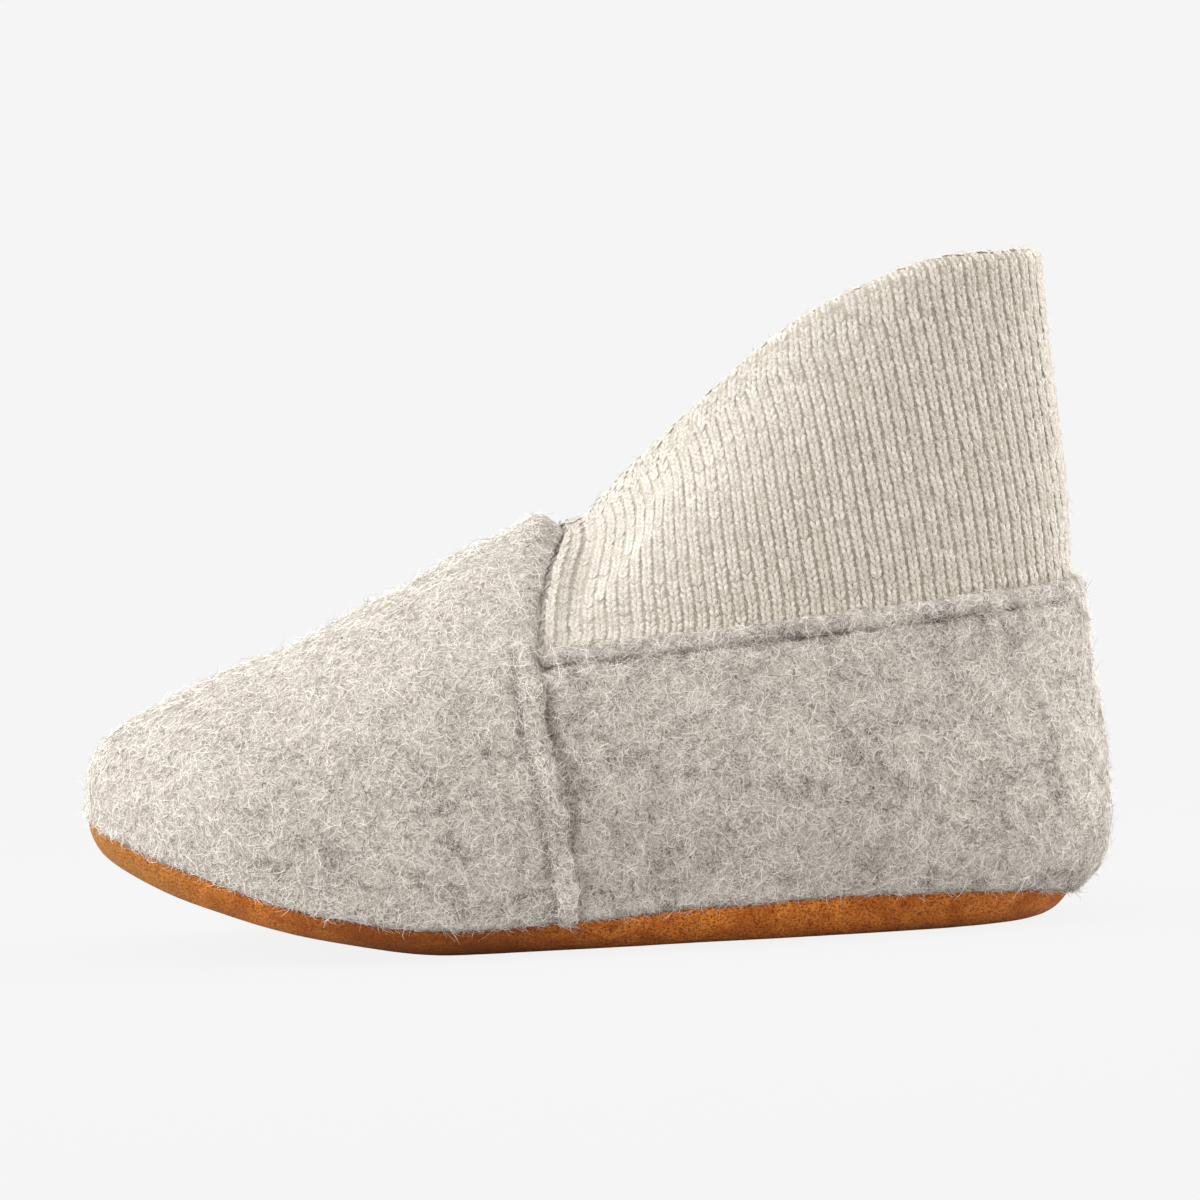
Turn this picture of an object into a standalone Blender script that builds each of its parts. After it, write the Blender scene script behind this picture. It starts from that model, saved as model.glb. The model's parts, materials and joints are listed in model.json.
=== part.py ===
"""Baby slipper, left foot: suede sole, felt insole, felt upper, raised vamp band and knitted cuff.

The slipper stands on its sole with the toe towards -X and its outer side towards -Y.
An angle tells the place round the shoe: 0 is the toe, 90 the side seams and 180 the back of the heel,
with a minus sign on the outer side. Sizes are millimetres from the toe tip and the floor, and shares
of the local half width or height, until the points are put in the scene.
"""
import bpy
import numpy as np

MM = 0.001

# Driving sizes
SOLE_LENGTH = 119.6
SOLE_WALL = 1.4
INSOLE_WALL = 2.2
UPPER_WALL = 2.0
CUFF_WALL = 2.6
SEAT_GAP = 0.3

# Sole: bluntness of toe and heel, the ends of its middle line, and where its edge starts to roll up
OUTLINE_POWER = 0.8
SPINE_FRONT = 27.0
SPINE_BACK = 98.0
EDGE_START = 0.72
EDGE_POWER = 2.3
SOLE_SHARES = (0.2, 0.45, 0.66, 0.78, 0.86, 0.93, 1.0)
INSOLE_RINGS = 5
INSOLE_ROUND = 0.6

# Upper: where the topline meets the throat on the seam section, that section's bow, and the top of the heel
CORNER_SHARE = 0.545
BOW_POWER = 2.6
HEEL_TOP_X = 123.0
HEEL_TOP_RISE = 4.4
HEEL_TOP_POWER = 1.3
QUARTER_BLEND = 45.0

# Relief of the felt: the vamp laps over the quarter, whose top is rolled over a stitched groove
LAP_STEP = 0.6
LAP_START = 70.0
LAP_WIDTH = 0.35
SIDE_RUN = 36.0
HEM_HEIGHT = 2.4
GROOVE_DEPTH = 0.7
GROOVE_HALF = 0.6
HEM_ROUND = 0.5

# Raised band along the vamp's rear edge
BAND_WIDTH = 3.0
BAND_THICK = 0.7
BAND_FOOT = 0.03
BAND_SECTION = ((0.0, 0.0), (0.0, 0.6), (0.25, 1.0), (0.75, 1.0), (1.0, 0.6), (1.0, 0.0))

# Cuff: how deep it is tucked inside the upper, degrees of section a millimetre there, and the rim's rounding
CUFF_TUCK = 3.5
THROAT_TURN = 0.96
CORNER_PASSES = 8
RIM_ROUND = 1.3

# Where the part's origin lies: under the middle of its box
ORIGIN = (62.66, -0.48, 0.0)

# Fineness of the mesh: degrees between columns, sections of the vamp, rows of the quarter, steps of arch,
# half band, cuff wall and folded rim
COLUMN_STEP = 6
VAMP_ANGLES = (5, 11, 18, 26, 34, 42, 50, 58, 66, 74, 82, 90)
ROWS = (0.0, 0.09, 0.2, 0.33, 0.47, 0.61, 0.75, 0.86)
HEM_DROPS = (3.0, 2.4, 1.8, 0.5, 0.0)
ARCH_STEPS = 8
BAND_STEPS = 24
WALL_STEPS = (0.0, 0.1, 0.22, 0.38, 0.56, 0.76, 1.0)
FOLD_SHARES = (0.2, 0.5, 0.8)

# Sole, by angle: half width before the ends are rounded, middle line, seam height and tread height
SOLE_COLUMNS = ("angle", "half_width", "middle", "seam_z", "tread_z")
SOLE_ROWS = (
    (0, 33.5, 2.4, 17.3, 12.9),
    (20, 33.6, 2.2, 15.1, 11.2),
    (40, 33.4, 1.6, 10.8, 6.8),
    (60, 31.4, 0.6, 5.4, 2.2),
    (76, 28.8, -0.3, 3.3, 0.0),
    (90, 26.2, -1.0, 3.7, 0.0),
    (105, 24.2, -1.2, 4.5, 0.0),
    (126, 25.0, -0.6, 4.9, 0.0),
    (150, 27.6, 0.0, 4.2, 0.0),
    (180, 28.0, 0.0, 3.0, 1.0),
)

# Vamp sections, by angle: crown above the seam before the toe is rounded, the half section's handles, its bow
VAMP_COLUMNS = ("angle", "crown", "foot_out", "foot_up", "crown_half", "bow")
VAMP_ROWS = (
    (0, 39.0, 0.05, 0.55, 0.60, 0.0),
    (12, 30.4, 0.06, 0.54, 0.61, 0.0),
    (25, 28.4, 0.08, 0.52, 0.62, 0.0),
    (50, 33.8, 0.14, 0.45, 0.70, 0.8),
    (70, 41.6, 0.18, 0.38, 0.80, 2.2),
    (80, 45.6, 0.20, 0.36, 0.84, 3.0),
    (90, 46.8, 0.22, 0.34, 0.88, 3.8),
)

# Quarter columns, by angle: handles of the curve from the sole's seam to the topline
QUARTER_COLUMNS = ("angle", "foot_out", "foot_up", "head_out", "head_down")
QUARTER_ROWS = (
    (90, 4.0, 8.6, 4.0, 11.0),
    (120, 5.5, 8.0, 3.0, 13.0),
    (150, 7.6, 5.0, 2.4, 16.0),
    (180, 9.4, 2.0, 1.2, 19.0),
)

# Cuff, by angle: outer rim, inner slit, rim height and the handles of the wall's curve
CUFF_COLUMNS = ("angle", "rim_x", "rim_gap", "slit_x", "slit_gap", "rim_z", "base_run", "base_out", "rim_out",
                "rim_down")
CUFF_ROWS = (
    (0, 61.2, 4.0, 65.2, 2.2, 51.4, 0.8, 0.0, 0.3, 0.7),
    (30, 62.6, 4.6, 66.2, 2.6, 52.8, 2.0, 0.0, 0.8, 2.0),
    (60, 67.2, 6.2, 70.0, 3.9, 57.0, 5.0, 0.2, 2.2, 5.0),
    (90, 75.8, 8.8, 77.2, 6.2, 64.3, 9.0, 1.0, 3.2, 9.0),
    (120, 91.0, 12.4, 91.0, 9.3, 74.5, 10.0, 1.8, 2.8, 11.0),
    (150, 108.6, 17.6, 107.2, 12.6, 81.0, 8.0, 2.4, 1.4, 12.0),
    (180, 119.5, 25.0, 116.7, 19.0, 81.5, 7.0, 2.6, 0.0, 12.0),
)

UP = np.array((0.0, 0.0, 1.0))
HEELWARD = np.array((1.0, 0.0, 0.0))


def wrap(angle):
    """The same direction, at most half a turn to either side of the toe."""
    return (np.asarray(angle, float) + 180.0) % 360.0 - 180.0


def read(columns, rows, name, angle):
    """One named column of a table at any angles, on a smooth curve that never overshoots its rows."""
    knots = np.array([row[0] for row in rows], float)
    values = np.array([row[columns.index(name)] for row in rows], float)
    steps = np.diff(knots)
    slopes = np.diff(values) / steps
    tangents = np.zeros(len(knots))
    for i in range(1, len(knots) - 1):
        if slopes[i - 1] * slopes[i] > 0.0:
            before = 2.0 * steps[i] + steps[i - 1]
            after = steps[i] + 2.0 * steps[i - 1]
            tangents[i] = (before + after) / (before / slopes[i - 1] + after / slopes[i])
    turn = np.abs(wrap(angle))
    i = np.clip(np.searchsorted(knots, turn, side="right") - 1, 0, len(knots) - 2)
    t = (turn - knots[i]) / steps[i]
    start = (1.0 + 2.0 * t) * (1.0 - t) ** 2 * values[i] + t * (1.0 - t) ** 2 * steps[i] * tangents[i]
    end = t * t * (3.0 - 2.0 * t) * values[i + 1] + t * t * (t - 1.0) * steps[i] * tangents[i + 1]
    return (start + end)[..., None]


def sole_value(name, angle):
    return read(SOLE_COLUMNS, SOLE_ROWS, name, angle)


def vamp_value(name, angle):
    return read(VAMP_COLUMNS, VAMP_ROWS, name, angle)


def quarter_value(name, angle):
    return read(QUARTER_COLUMNS, QUARTER_ROWS, name, angle)


def cuff_value(name, angle):
    return read(CUFF_COLUMNS, CUFF_ROWS, name, angle)


def unit(vectors):
    return vectors / np.linalg.norm(vectors, axis=-1, keepdims=True)


def bezier(p0, p1, p2, p3, t):
    return (1 - t) ** 3 * p0 + 3 * t * (1 - t) ** 2 * p1 + 3 * t * t * (1 - t) * p2 + t ** 3 * p3


def smooth_step(share):
    share = np.clip(share, 0.0, 1.0)
    return share * share * (3.0 - 2.0 * share)


def blunt(angle):
    """Sine of the angle without its sign, with its ends blunted."""
    return (np.abs(np.sin(np.radians(angle))) ** OUTLINE_POWER)[..., None]


def side_of(angle):
    """Sideways direction of the angle's side of the shoe, -Y on the outer side."""
    side = np.where(wrap(angle) < 0.0, -1.0, 1.0)
    return side[..., None] * np.array((0.0, 1.0, 0.0))


def seam_line(angle):
    """The line where suede meets felt."""
    angle = np.asarray(angle, float)
    along = SOLE_LENGTH * (1.0 - np.cos(np.radians(angle))) / 2.0
    half = sole_value("half_width", angle) * blunt(angle)
    line = side_of(angle) * half + sole_value("seam_z", angle) * UP
    line[..., 0] += along
    line[..., 1] += sole_value("middle", angle)[..., 0]
    return line


def outward(angle):
    """Horizontal direction that points away from the shoe, square to the sole's outline."""
    along = seam_line(np.asarray(angle) + 0.5) - seam_line(np.asarray(angle) - 0.5)
    return unit(np.cross(UP, along * (1.0, 1.0, 0.0)))


def vamp_handles(angle):
    """Ends and handles of a half section of the vamp, from the sole's seam to the crown."""
    foot = seam_line(angle)
    half = sole_value("half_width", angle) * blunt(angle)
    height = vamp_value("crown", angle) * blunt(angle)
    crown = foot * (1.0, 0.0, 1.0) + height * UP
    crown[..., 1] = sole_value("middle", angle)[..., 0]
    foot_handle = foot + outward(angle) * vamp_value("foot_out", angle) * half
    foot_handle = foot_handle + vamp_value("foot_up", angle) * height * UP
    crown_handle = crown + side_of(angle) * vamp_value("crown_half", angle) * half
    return foot, foot_handle, crown_handle, crown


def split_handles(angle):
    """The part of the seam section below the topline: its end point and its two handles as offsets."""
    p0, p1, p2, p3 = vamp_handles(angle)
    t = CORNER_SHARE
    near = p0 + (p1 - p0) * t
    middle = p1 + (p2 - p1) * t
    far = p2 + (p3 - p2) * t
    before = near + (middle - near) * t
    after = middle + (far - middle) * t
    corner = before + (after - before) * t
    return corner, near - p0, before - corner


def topline(angle):
    """Upper edge of the quarter, from the seam section's corner round the heel."""
    angle = wrap(angle)
    side = np.where(angle < 0.0, -90.0, 90.0)
    line, _, _ = split_handles(side)
    back = np.radians(np.clip(np.abs(angle), 90.0, 180.0) - 90.0)
    run = np.sin(back)
    line[..., 0] += (HEEL_TOP_X - line[..., 0]) * run
    line[..., 1] *= np.abs(np.cos(back)) ** OUTLINE_POWER
    line[..., 2] += HEEL_TOP_RISE * run ** HEEL_TOP_POWER
    return line


def quarter_share(angle):
    """How far a column of the quarter has left the seam section's form, none at the side seam."""
    return smooth_step((np.abs(wrap(angle)) - 90.0) / QUARTER_BLEND)[..., None]


def quarter_handles(angle):
    """Ends and handles of a column of the quarter, which takes over the seam section's curve at the seam."""
    side = np.where(wrap(angle) < 0.0, -90.0, 90.0)
    _, seam_foot, seam_head = split_handles(side)
    away = outward(angle)
    foot = away * quarter_value("foot_out", angle) + quarter_value("foot_up", angle) * UP
    head = away * quarter_value("head_out", angle) - quarter_value("head_down", angle) * UP
    share = quarter_share(angle)
    low = seam_line(angle)
    high = topline(angle)
    low_handle = low + seam_foot + (foot - seam_foot) * share
    high_handle = high + seam_head + (head - seam_head) * share
    return low, low_handle, high_handle, high


def foot_direction(angle):
    """The way the felt leaves the sole's seam."""
    rise = vamp_value("foot_up", angle) * vamp_value("crown", angle) * UP
    ahead = outward(angle) * vamp_value("foot_out", angle) * sole_value("half_width", angle) + rise
    low, low_handle, _, _ = quarter_handles(angle)
    behind = (np.abs(wrap(angle)) > 90.0)[..., None]
    return unit(np.where(behind, low_handle - low, ahead))


def section_bow(t):
    """Share of a section's forward bow at a place along its half: none at the sole, level at the crown."""
    peak = BOW_POWER / (BOW_POWER + 2.0)
    return np.clip(t, 0.0, 1.0) ** BOW_POWER * (1.0 - t) ** 2 / (peak ** BOW_POWER * (1.0 - peak) ** 2)


def felt_face(angle, t, handles, bow):
    """Outer face of the felt without its relief, seated on the sole's edge with a small gap."""
    p0, p1, p2, p3 = handles(angle)
    seat = SEAT_GAP * foot_direction(angle) * (1.0 - t) ** 3
    return bezier(p0, p1, p2, p3, t) + seat - bow * HEELWARD


def vamp_face(angle, t):
    angle = np.asarray(angle, float)
    t = np.asarray(t, float)[..., None]
    bow = vamp_value("bow", angle) * section_bow(t)
    return felt_face(angle, t, vamp_handles, bow)


def quarter_face(angle, v):
    angle = np.asarray(angle, float)
    v = np.asarray(v, float)[..., None]
    bow = vamp_value("bow", np.array(90.0)) * section_bow(v * CORNER_SHARE) * (1.0 - quarter_share(angle))
    return felt_face(angle, v, quarter_handles, bow)


def felt_normal(face, angle, t):
    """Unit normal of a felt face, pointing out of the shoe."""
    angle = np.asarray(angle, float)
    t = np.asarray(t, float)
    across = face(angle + 0.3, t) - face(angle - 0.3, t)
    along = face(angle, t + 0.003) - face(angle, t - 0.003)
    return unit(np.cross(along, across))


def vamp_relief(angle):
    """The vamp rises towards its rear edge, where it laps over the quarter."""
    return LAP_STEP * smooth_step((np.abs(angle) - LAP_START) / (90.0 - LAP_START))


def quarter_relief(v):
    """Height of the quarter's face by its place under the topline: a rolled hem over a stitched groove."""
    drop = (1.0 - v) * SIDE_RUN
    groove = -GROOVE_DEPTH * np.clip(1.0 - np.abs(drop - HEM_HEIGHT) / GROOVE_HALF, 0.0, 1.0)
    edge = -HEM_ROUND * np.clip(1.0 - drop / HEM_ROUND, 0.0, 1.0)
    return groove + edge


def around():
    """Angles of equal columns round the shoe, the toe being in the middle of the list and the heel last."""
    return np.arange(-180 + COLUMN_STEP, 180 + 1, COLUMN_STEP, dtype=float)


def quarter_angles():
    """Angles of the quarter's columns, from the inner seam round the heel to the outer seam."""
    first = 90.0 + LAP_WIDTH
    inner = [first] + [a for a in around() if a >= 90.0 + COLUMN_STEP]
    return np.array(inner + [-a for a in inner[:-1]][::-1])


def quarter_rows():
    return np.array(ROWS + tuple(1.0 - drop / SIDE_RUN for drop in HEM_DROPS))


def half_section():
    """Places along a half section of the vamp: the quarter's rows up to the corner, then on to the crown."""
    arch = np.linspace(CORNER_SHARE, 1.0, ARCH_STEPS + 1)[1:]
    return np.concatenate([quarter_rows() * CORNER_SHARE, arch])


def make_material(name, colour, roughness):
    material = bpy.data.materials.new(name)
    material.use_nodes = True
    shader = material.node_tree.nodes["Principled BSDF"]
    shader.inputs["Base Color"].default_value = (*colour, 1.0)
    shader.inputs["Roughness"].default_value = roughness
    shader.inputs["Metallic"].default_value = 0.0
    return material


def make_object(name, places, faces, material):
    mesh = bpy.data.meshes.new(name)
    mesh.from_pydata(((np.asarray(places) - ORIGIN) * MM).tolist(), [], faces)
    mesh.update()
    mesh.shade_smooth()
    mesh.set_sharp_from_angle(angle=np.radians(40.0))
    mesh.materials.append(material)
    piece = bpy.data.objects.new(name, mesh)
    bpy.context.scene.collection.objects.link(piece)
    return piece


def ring_faces(count, size, closed):
    """Faces between rings of equal size, each following the one before; the last may meet the first."""
    faces = []
    for r in range(count if closed else count - 1):
        low = r * size
        high = ((r + 1) % count) * size
        for c in range(size):
            beside = (c + 1) % size
            faces.append((low + c, high + c, high + beside, low + beside))
    return faces


def end_faces(first, size):
    """Faces that fill a ring from side to side, the toe being in the middle of its list and the heel last."""
    toe = size // 2 - 1
    heel = size - 1
    outer = [toe - k for k in range(1, toe + 1)]
    inner = [toe + k for k in range(1, toe + 1)]
    faces = [(first + toe, first + outer[0], first + inner[0])]
    for k in range(len(outer) - 1):
        faces.append((first + outer[k], first + outer[k + 1], first + inner[k + 1], first + inner[k]))
    faces.append((first + outer[-1], first + heel, first + inner[-1]))
    return faces


def make_pad(name, rings, material):
    """A closed pad through rings from its underside's middle, round its edge, to its top's middle."""
    count = len(rings)
    size = len(rings[0])
    faces = ring_faces(count, size, closed=False)
    faces += [face[::-1] for face in end_faces(0, size)]
    faces += end_faces((count - 1) * size, size)
    return make_object(name, np.concatenate(rings), faces, material)


def thick_wall(outer, inner, faces):
    """Both faces of a wall and the edge strips between them, from one face's points and polygons."""
    count = len(outer)
    edges = {}
    for face in faces:
        for a, b in zip(face, face[1:] + face[:1]):
            edges[(a, b)] = True
    wall = list(faces) + [tuple(v + count for v in face[::-1]) for face in faces]
    for a, b in edges:
        if (b, a) not in edges:
            wall.append((b, a, a + count, b + count))
    return np.concatenate([outer, inner]), wall


def tread(angle, share):
    """Underside of the sole, from its middle line (share 0) out to the seam (share 1)."""
    edge = seam_line(angle)
    hub = edge.copy()
    hub[..., 0] = np.clip(edge[..., 0], SPINE_FRONT, SPINE_BACK)
    hub[..., 1] = sole_value("middle", angle)[..., 0]
    place = hub + (edge - hub) * share
    along = np.clip(place[..., 0], 0.0, SOLE_LENGTH)
    turn = np.degrees(np.arccos(1.0 - 2.0 * along / SOLE_LENGTH))
    rise = np.clip((share - EDGE_START) / (1.0 - EDGE_START), 0.0, 1.0) ** EDGE_POWER
    lift = (sole_value("seam_z", angle) - sole_value("tread_z", angle)) * rise
    place[..., 2] = (sole_value("tread_z", turn) + lift)[..., 0]
    return place


def sole_inward(angle, share):
    """The way through the suede: square to the tread, and along the felt's own edge at the seam."""
    across = tread(angle + 0.3, share) - tread(angle - 0.3, share)
    along = tread(angle, share) - tread(angle, share - 0.02)
    square = unit(np.cross(across, along))
    leaving = foot_direction(angle)
    away = outward(angle)
    out = (leaving * away).sum(axis=-1, keepdims=True)
    through = UP * out - away * leaving[..., 2:]
    lean = np.clip((share - EDGE_START) / (1.0 - EDGE_START), 0.0, 1.0)
    return unit(square * (1.0 - lean) + through * lean)


def make_sole(material):
    angle = around()
    under = [tread(angle, share) for share in SOLE_SHARES]
    over = [tread(angle, share) + SOLE_WALL * sole_inward(angle, share) for share in SOLE_SHARES[::-1]]
    return make_pad("sole", under + over, material)


def make_insole(material):
    angle = around()
    shares = SOLE_SHARES[:INSOLE_RINGS]
    lift = SOLE_WALL + SEAT_GAP
    under = [tread(angle, share) + lift * sole_inward(angle, share) for share in shares]
    rim = under[-1] + INSOLE_ROUND * INSOLE_WALL * UP
    over = [place + INSOLE_WALL * UP for place in under[::-1]]
    over[0] = (over[0] + over[1]) / 2.0 * (1.0, 1.0, 0.0) + over[0] * UP
    return make_pad("insole", under + [rim] + over, material)


def vamp_grid():
    """Outer and inner points of the vamp, a list for each section from the outer side over the crown."""
    t = half_section()
    t = np.concatenate([t, t[:-1][::-1]])
    side = np.where(np.arange(len(t)) < (len(t) + 1) // 2, -1.0, 1.0)
    outer = []
    inner = []
    for turn in VAMP_ANGLES:
        angle = side * turn
        place = vamp_face(angle, t)
        normal = felt_normal(vamp_face, angle, t)
        outer.append(place + normal * vamp_relief(angle)[:, None])
        inner.append(place - normal * UPPER_WALL)
    return np.array(outer), np.array(inner)


def quarter_grid():
    """Outer and inner points of the quarter, a list for each column from the sole to the topline."""
    angle, v = np.meshgrid(quarter_angles(), quarter_rows(), indexing="ij")
    place = quarter_face(angle, v)
    normal = felt_normal(quarter_face, angle, v)
    return place + normal * quarter_relief(v)[..., None], place - normal * UPPER_WALL


def make_upper(material):
    """Vamp and quarter sewn into one wall, which is open at the collar and underneath."""
    vamp_outer, vamp_inner = vamp_grid()
    quarter_outer, quarter_inner = quarter_grid()
    sections, size = vamp_outer.shape[:2]
    heel_columns, rows = quarter_outer.shape[:2]
    toe = vamp_face(np.array(0.0), np.array(0.0))
    toe_inner = toe - outward(np.array(0.0)) * UPPER_WALL
    outer = np.concatenate([vamp_outer.reshape(-1, 3), quarter_outer.reshape(-1, 3), toe[None]])
    inner = np.concatenate([vamp_inner.reshape(-1, 3), quarter_inner.reshape(-1, 3), toe_inner[None]])
    last = (sections - 1) * size
    start = sections * size
    tip = len(outer) - 1
    faces = [(tip, j, j + 1) for j in range(size - 1)]
    for i in range(sections - 1):
        for j in range(size - 1):
            a = i * size + j
            faces.append((a, a + size, a + size + 1, a + 1))
    for i in range(heel_columns - 1):
        for k in range(rows - 1):
            a = start + i * rows + k
            faces.append((a, a + 1, a + rows + 1, a + rows))
    end = start + (heel_columns - 1) * rows
    for k in range(rows - 1):
        a = last + size - 1 - k
        faces.append((a, a - 1, start + k + 1, start + k))
        b = last + k
        faces.append((end + k, end + k + 1, b + 1, b))
    places, wall = thick_wall(outer, inner, faces)
    return make_object("upper", places, wall, material)


def seam_section(first, steps):
    """The seam section from the outer sole seam over the instep to the inner one: angles and places."""
    rise = np.linspace(first, 1.0, steps)
    t = np.concatenate([rise, rise[:-1][::-1]])
    angle = np.where(np.arange(len(t)) < steps, -90.0, 90.0)
    return angle, t


def make_vamp_band(material):
    """The vamp's turned edge: a strip up one side seam, over the instep and down the other."""
    angle, t = seam_section(BAND_FOOT, BAND_STEPS)
    normal = felt_normal(vamp_face, angle, t)
    place = vamp_face(angle, t) + normal * LAP_STEP
    ahead = vamp_face(angle - np.sign(angle) * BAND_WIDTH, t) - vamp_face(angle, t)
    run = unit(np.gradient(place, axis=0))
    ahead = unit(ahead - run * (ahead * run).sum(axis=-1, keepdims=True))
    rings = []
    for forward, height in BAND_SECTION:
        rings.append(place + ahead * forward * BAND_WIDTH + normal * (SEAT_GAP + height * BAND_THICK))
    count = len(t)
    size = len(BAND_SECTION)
    places = np.stack(rings, axis=1).reshape(-1, 3)
    faces = ring_faces(count, size, closed=False)
    faces.append(tuple(range(size)))
    faces.append(tuple(range((count - 1) * size, count * size))[::-1])
    return make_object("vamp_band", places, faces, material)


def collar_loop(drop):
    """The felt along its opening, a drop away from the edge, from the heel by the throat to the heel."""
    heel = np.array([a for a in around() if a > 90.0])
    outer_heel = -heel[:-1][::-1]
    rise = np.linspace(CORNER_SHARE, 1.0, ARCH_STEPS + 1)
    t = np.concatenate([rise, rise[:-1][::-1]])
    side = np.where(np.arange(len(t)) <= ARCH_STEPS, -1.0, 1.0)
    ahead = side * (90.0 - drop * THROAT_TURN)
    v = np.full(len(heel), 1.0 - drop / SIDE_RUN)
    runs = ((quarter_face, outer_heel, v[1:]), (vamp_face, ahead, t), (quarter_face, heel, v))
    place = np.concatenate([face(angle, way) for face, angle, way in runs])
    normal = np.concatenate([felt_normal(face, angle, way) for face, angle, way in runs])
    turn = side * 90.0 * (1.0 - t) / (1.0 - CORNER_SHARE)
    return place, normal, np.concatenate([outer_heel, turn, heel])


def soften(loop):
    """Directions round a closed loop, each drawn towards its neighbours, so that a corner turns gently."""
    for _ in range(CORNER_PASSES):
        loop = (np.roll(loop, 1, axis=0) + 2.0 * loop + np.roll(loop, -1, axis=0)) / 4.0
    return loop


def cuff_wall(depth, edge_x, edge_gap):
    """One face of the knit as rings: tucked along the felt's inside, then up to the edge of two columns."""
    inside = UPPER_WALL + SEAT_GAP + depth
    rings = []
    for drop in (CUFF_TUCK, CUFF_TUCK / 2.0, 0.0):
        place, normal, angle = collar_loop(drop)
        rings.append(place - normal * inside)
    base = rings.pop()
    leaving = unit(soften(unit(base - rings[-1])))
    normal = unit(soften(normal))
    rim = side_of(angle) * cuff_value(edge_gap, angle) * np.abs(np.sin(np.radians(angle)))[:, None]
    rim = rim + (cuff_value("rim_z", angle) - RIM_ROUND) * UP + cuff_value(edge_x, angle) * HEELWARD
    base_handle = base + leaving * cuff_value("base_run", angle) + normal * cuff_value("base_out", angle)
    rim_handle = rim + outward(angle) * cuff_value("rim_out", angle) - cuff_value("rim_down", angle) * UP
    for t in WALL_STEPS:
        rings.append(bezier(base, base_handle, rim_handle, rim, t))
    return rings


def make_cuff(material):
    """The rib-knit strip, folded double at its rim, as one hollow wall."""
    outer = cuff_wall(0.0, "rim_x", "rim_gap")
    inner = cuff_wall(CUFF_WALL, "slit_x", "slit_gap")
    fold = []
    for share in FOLD_SHARES:
        bow = 1.0 - (2.0 * share - 1.0) ** 2
        fold.append(outer[-1] + (inner[-1] - outer[-1]) * share + RIM_ROUND * bow * UP)
    rings = outer + fold + inner[::-1]
    faces = ring_faces(len(rings), len(rings[0]), closed=True)
    return make_object("cuff", np.concatenate(rings), faces, material)


def main():
    for leftover in list(bpy.data.objects):
        bpy.data.objects.remove(leftover, do_unlink=True)
    suede = make_material("suede", (0.30, 0.13, 0.045), 0.9)
    felt = make_material("felt", (0.50, 0.45, 0.39), 0.95)
    knit = make_material("knit", (0.66, 0.58, 0.47), 0.95)
    make_sole(suede)
    make_insole(felt)
    make_upper(felt)
    make_vamp_band(felt)
    make_cuff(knit)


main()
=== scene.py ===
# %% [markdown]
# # A felt baby slipper, dressed
# The slipper has five sewn pieces: a suede sole, a felt insole, a felt vamp, a felt quarter and a knitted
# cuff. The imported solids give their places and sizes. This lesson keeps that form and adds what makes it
# soft: hems, seams, lumps, hairs, ribs, stitches and nap. Sizes are millimetres from the toe tip and the
# floor, with +X to the heel, and are turned into metres in the part's frame when a mesh is made.

# %% Load the frame
import json
import math
from functools import partial

import bmesh
import bpy
import numpy as np
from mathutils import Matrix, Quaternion, Vector, noise
from mathutils.bvhtree import BVHTree

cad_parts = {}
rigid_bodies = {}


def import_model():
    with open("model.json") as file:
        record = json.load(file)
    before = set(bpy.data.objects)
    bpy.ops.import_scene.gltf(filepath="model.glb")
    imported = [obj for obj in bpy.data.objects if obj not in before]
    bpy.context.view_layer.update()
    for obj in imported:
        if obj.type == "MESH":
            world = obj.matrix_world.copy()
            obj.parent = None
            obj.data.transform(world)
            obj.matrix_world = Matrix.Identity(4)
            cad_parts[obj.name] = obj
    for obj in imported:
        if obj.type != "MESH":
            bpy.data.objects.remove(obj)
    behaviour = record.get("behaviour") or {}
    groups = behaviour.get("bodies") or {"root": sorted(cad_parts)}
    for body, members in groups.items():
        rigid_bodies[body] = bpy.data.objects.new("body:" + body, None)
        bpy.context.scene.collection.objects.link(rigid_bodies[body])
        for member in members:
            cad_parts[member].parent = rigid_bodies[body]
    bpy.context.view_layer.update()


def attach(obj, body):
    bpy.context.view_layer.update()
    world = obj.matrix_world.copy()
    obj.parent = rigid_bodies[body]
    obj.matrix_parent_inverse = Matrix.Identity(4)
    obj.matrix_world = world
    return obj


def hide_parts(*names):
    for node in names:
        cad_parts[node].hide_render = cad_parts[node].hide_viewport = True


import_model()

# %% [markdown]
# ## The last
# A shoe is drawn over a last, the wooden foot. Here the last is a few tables, read by the angle round the
# shoe: 0 is the toe, 90 the side seams and 180 the back of the heel, with a minus sign on the outer side.
# A smooth curve through each column, one that never overshoots its rows, gives a value at any angle.

# %% Tables of the last
MM = 0.001
ORIGIN = np.array((62.66, -0.48, 0.0))
SOLE_LENGTH = 119.6
SEAT_GAP = 0.3
UPPER_WALL = 2.0
OUTLINE_POWER = 0.8

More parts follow.
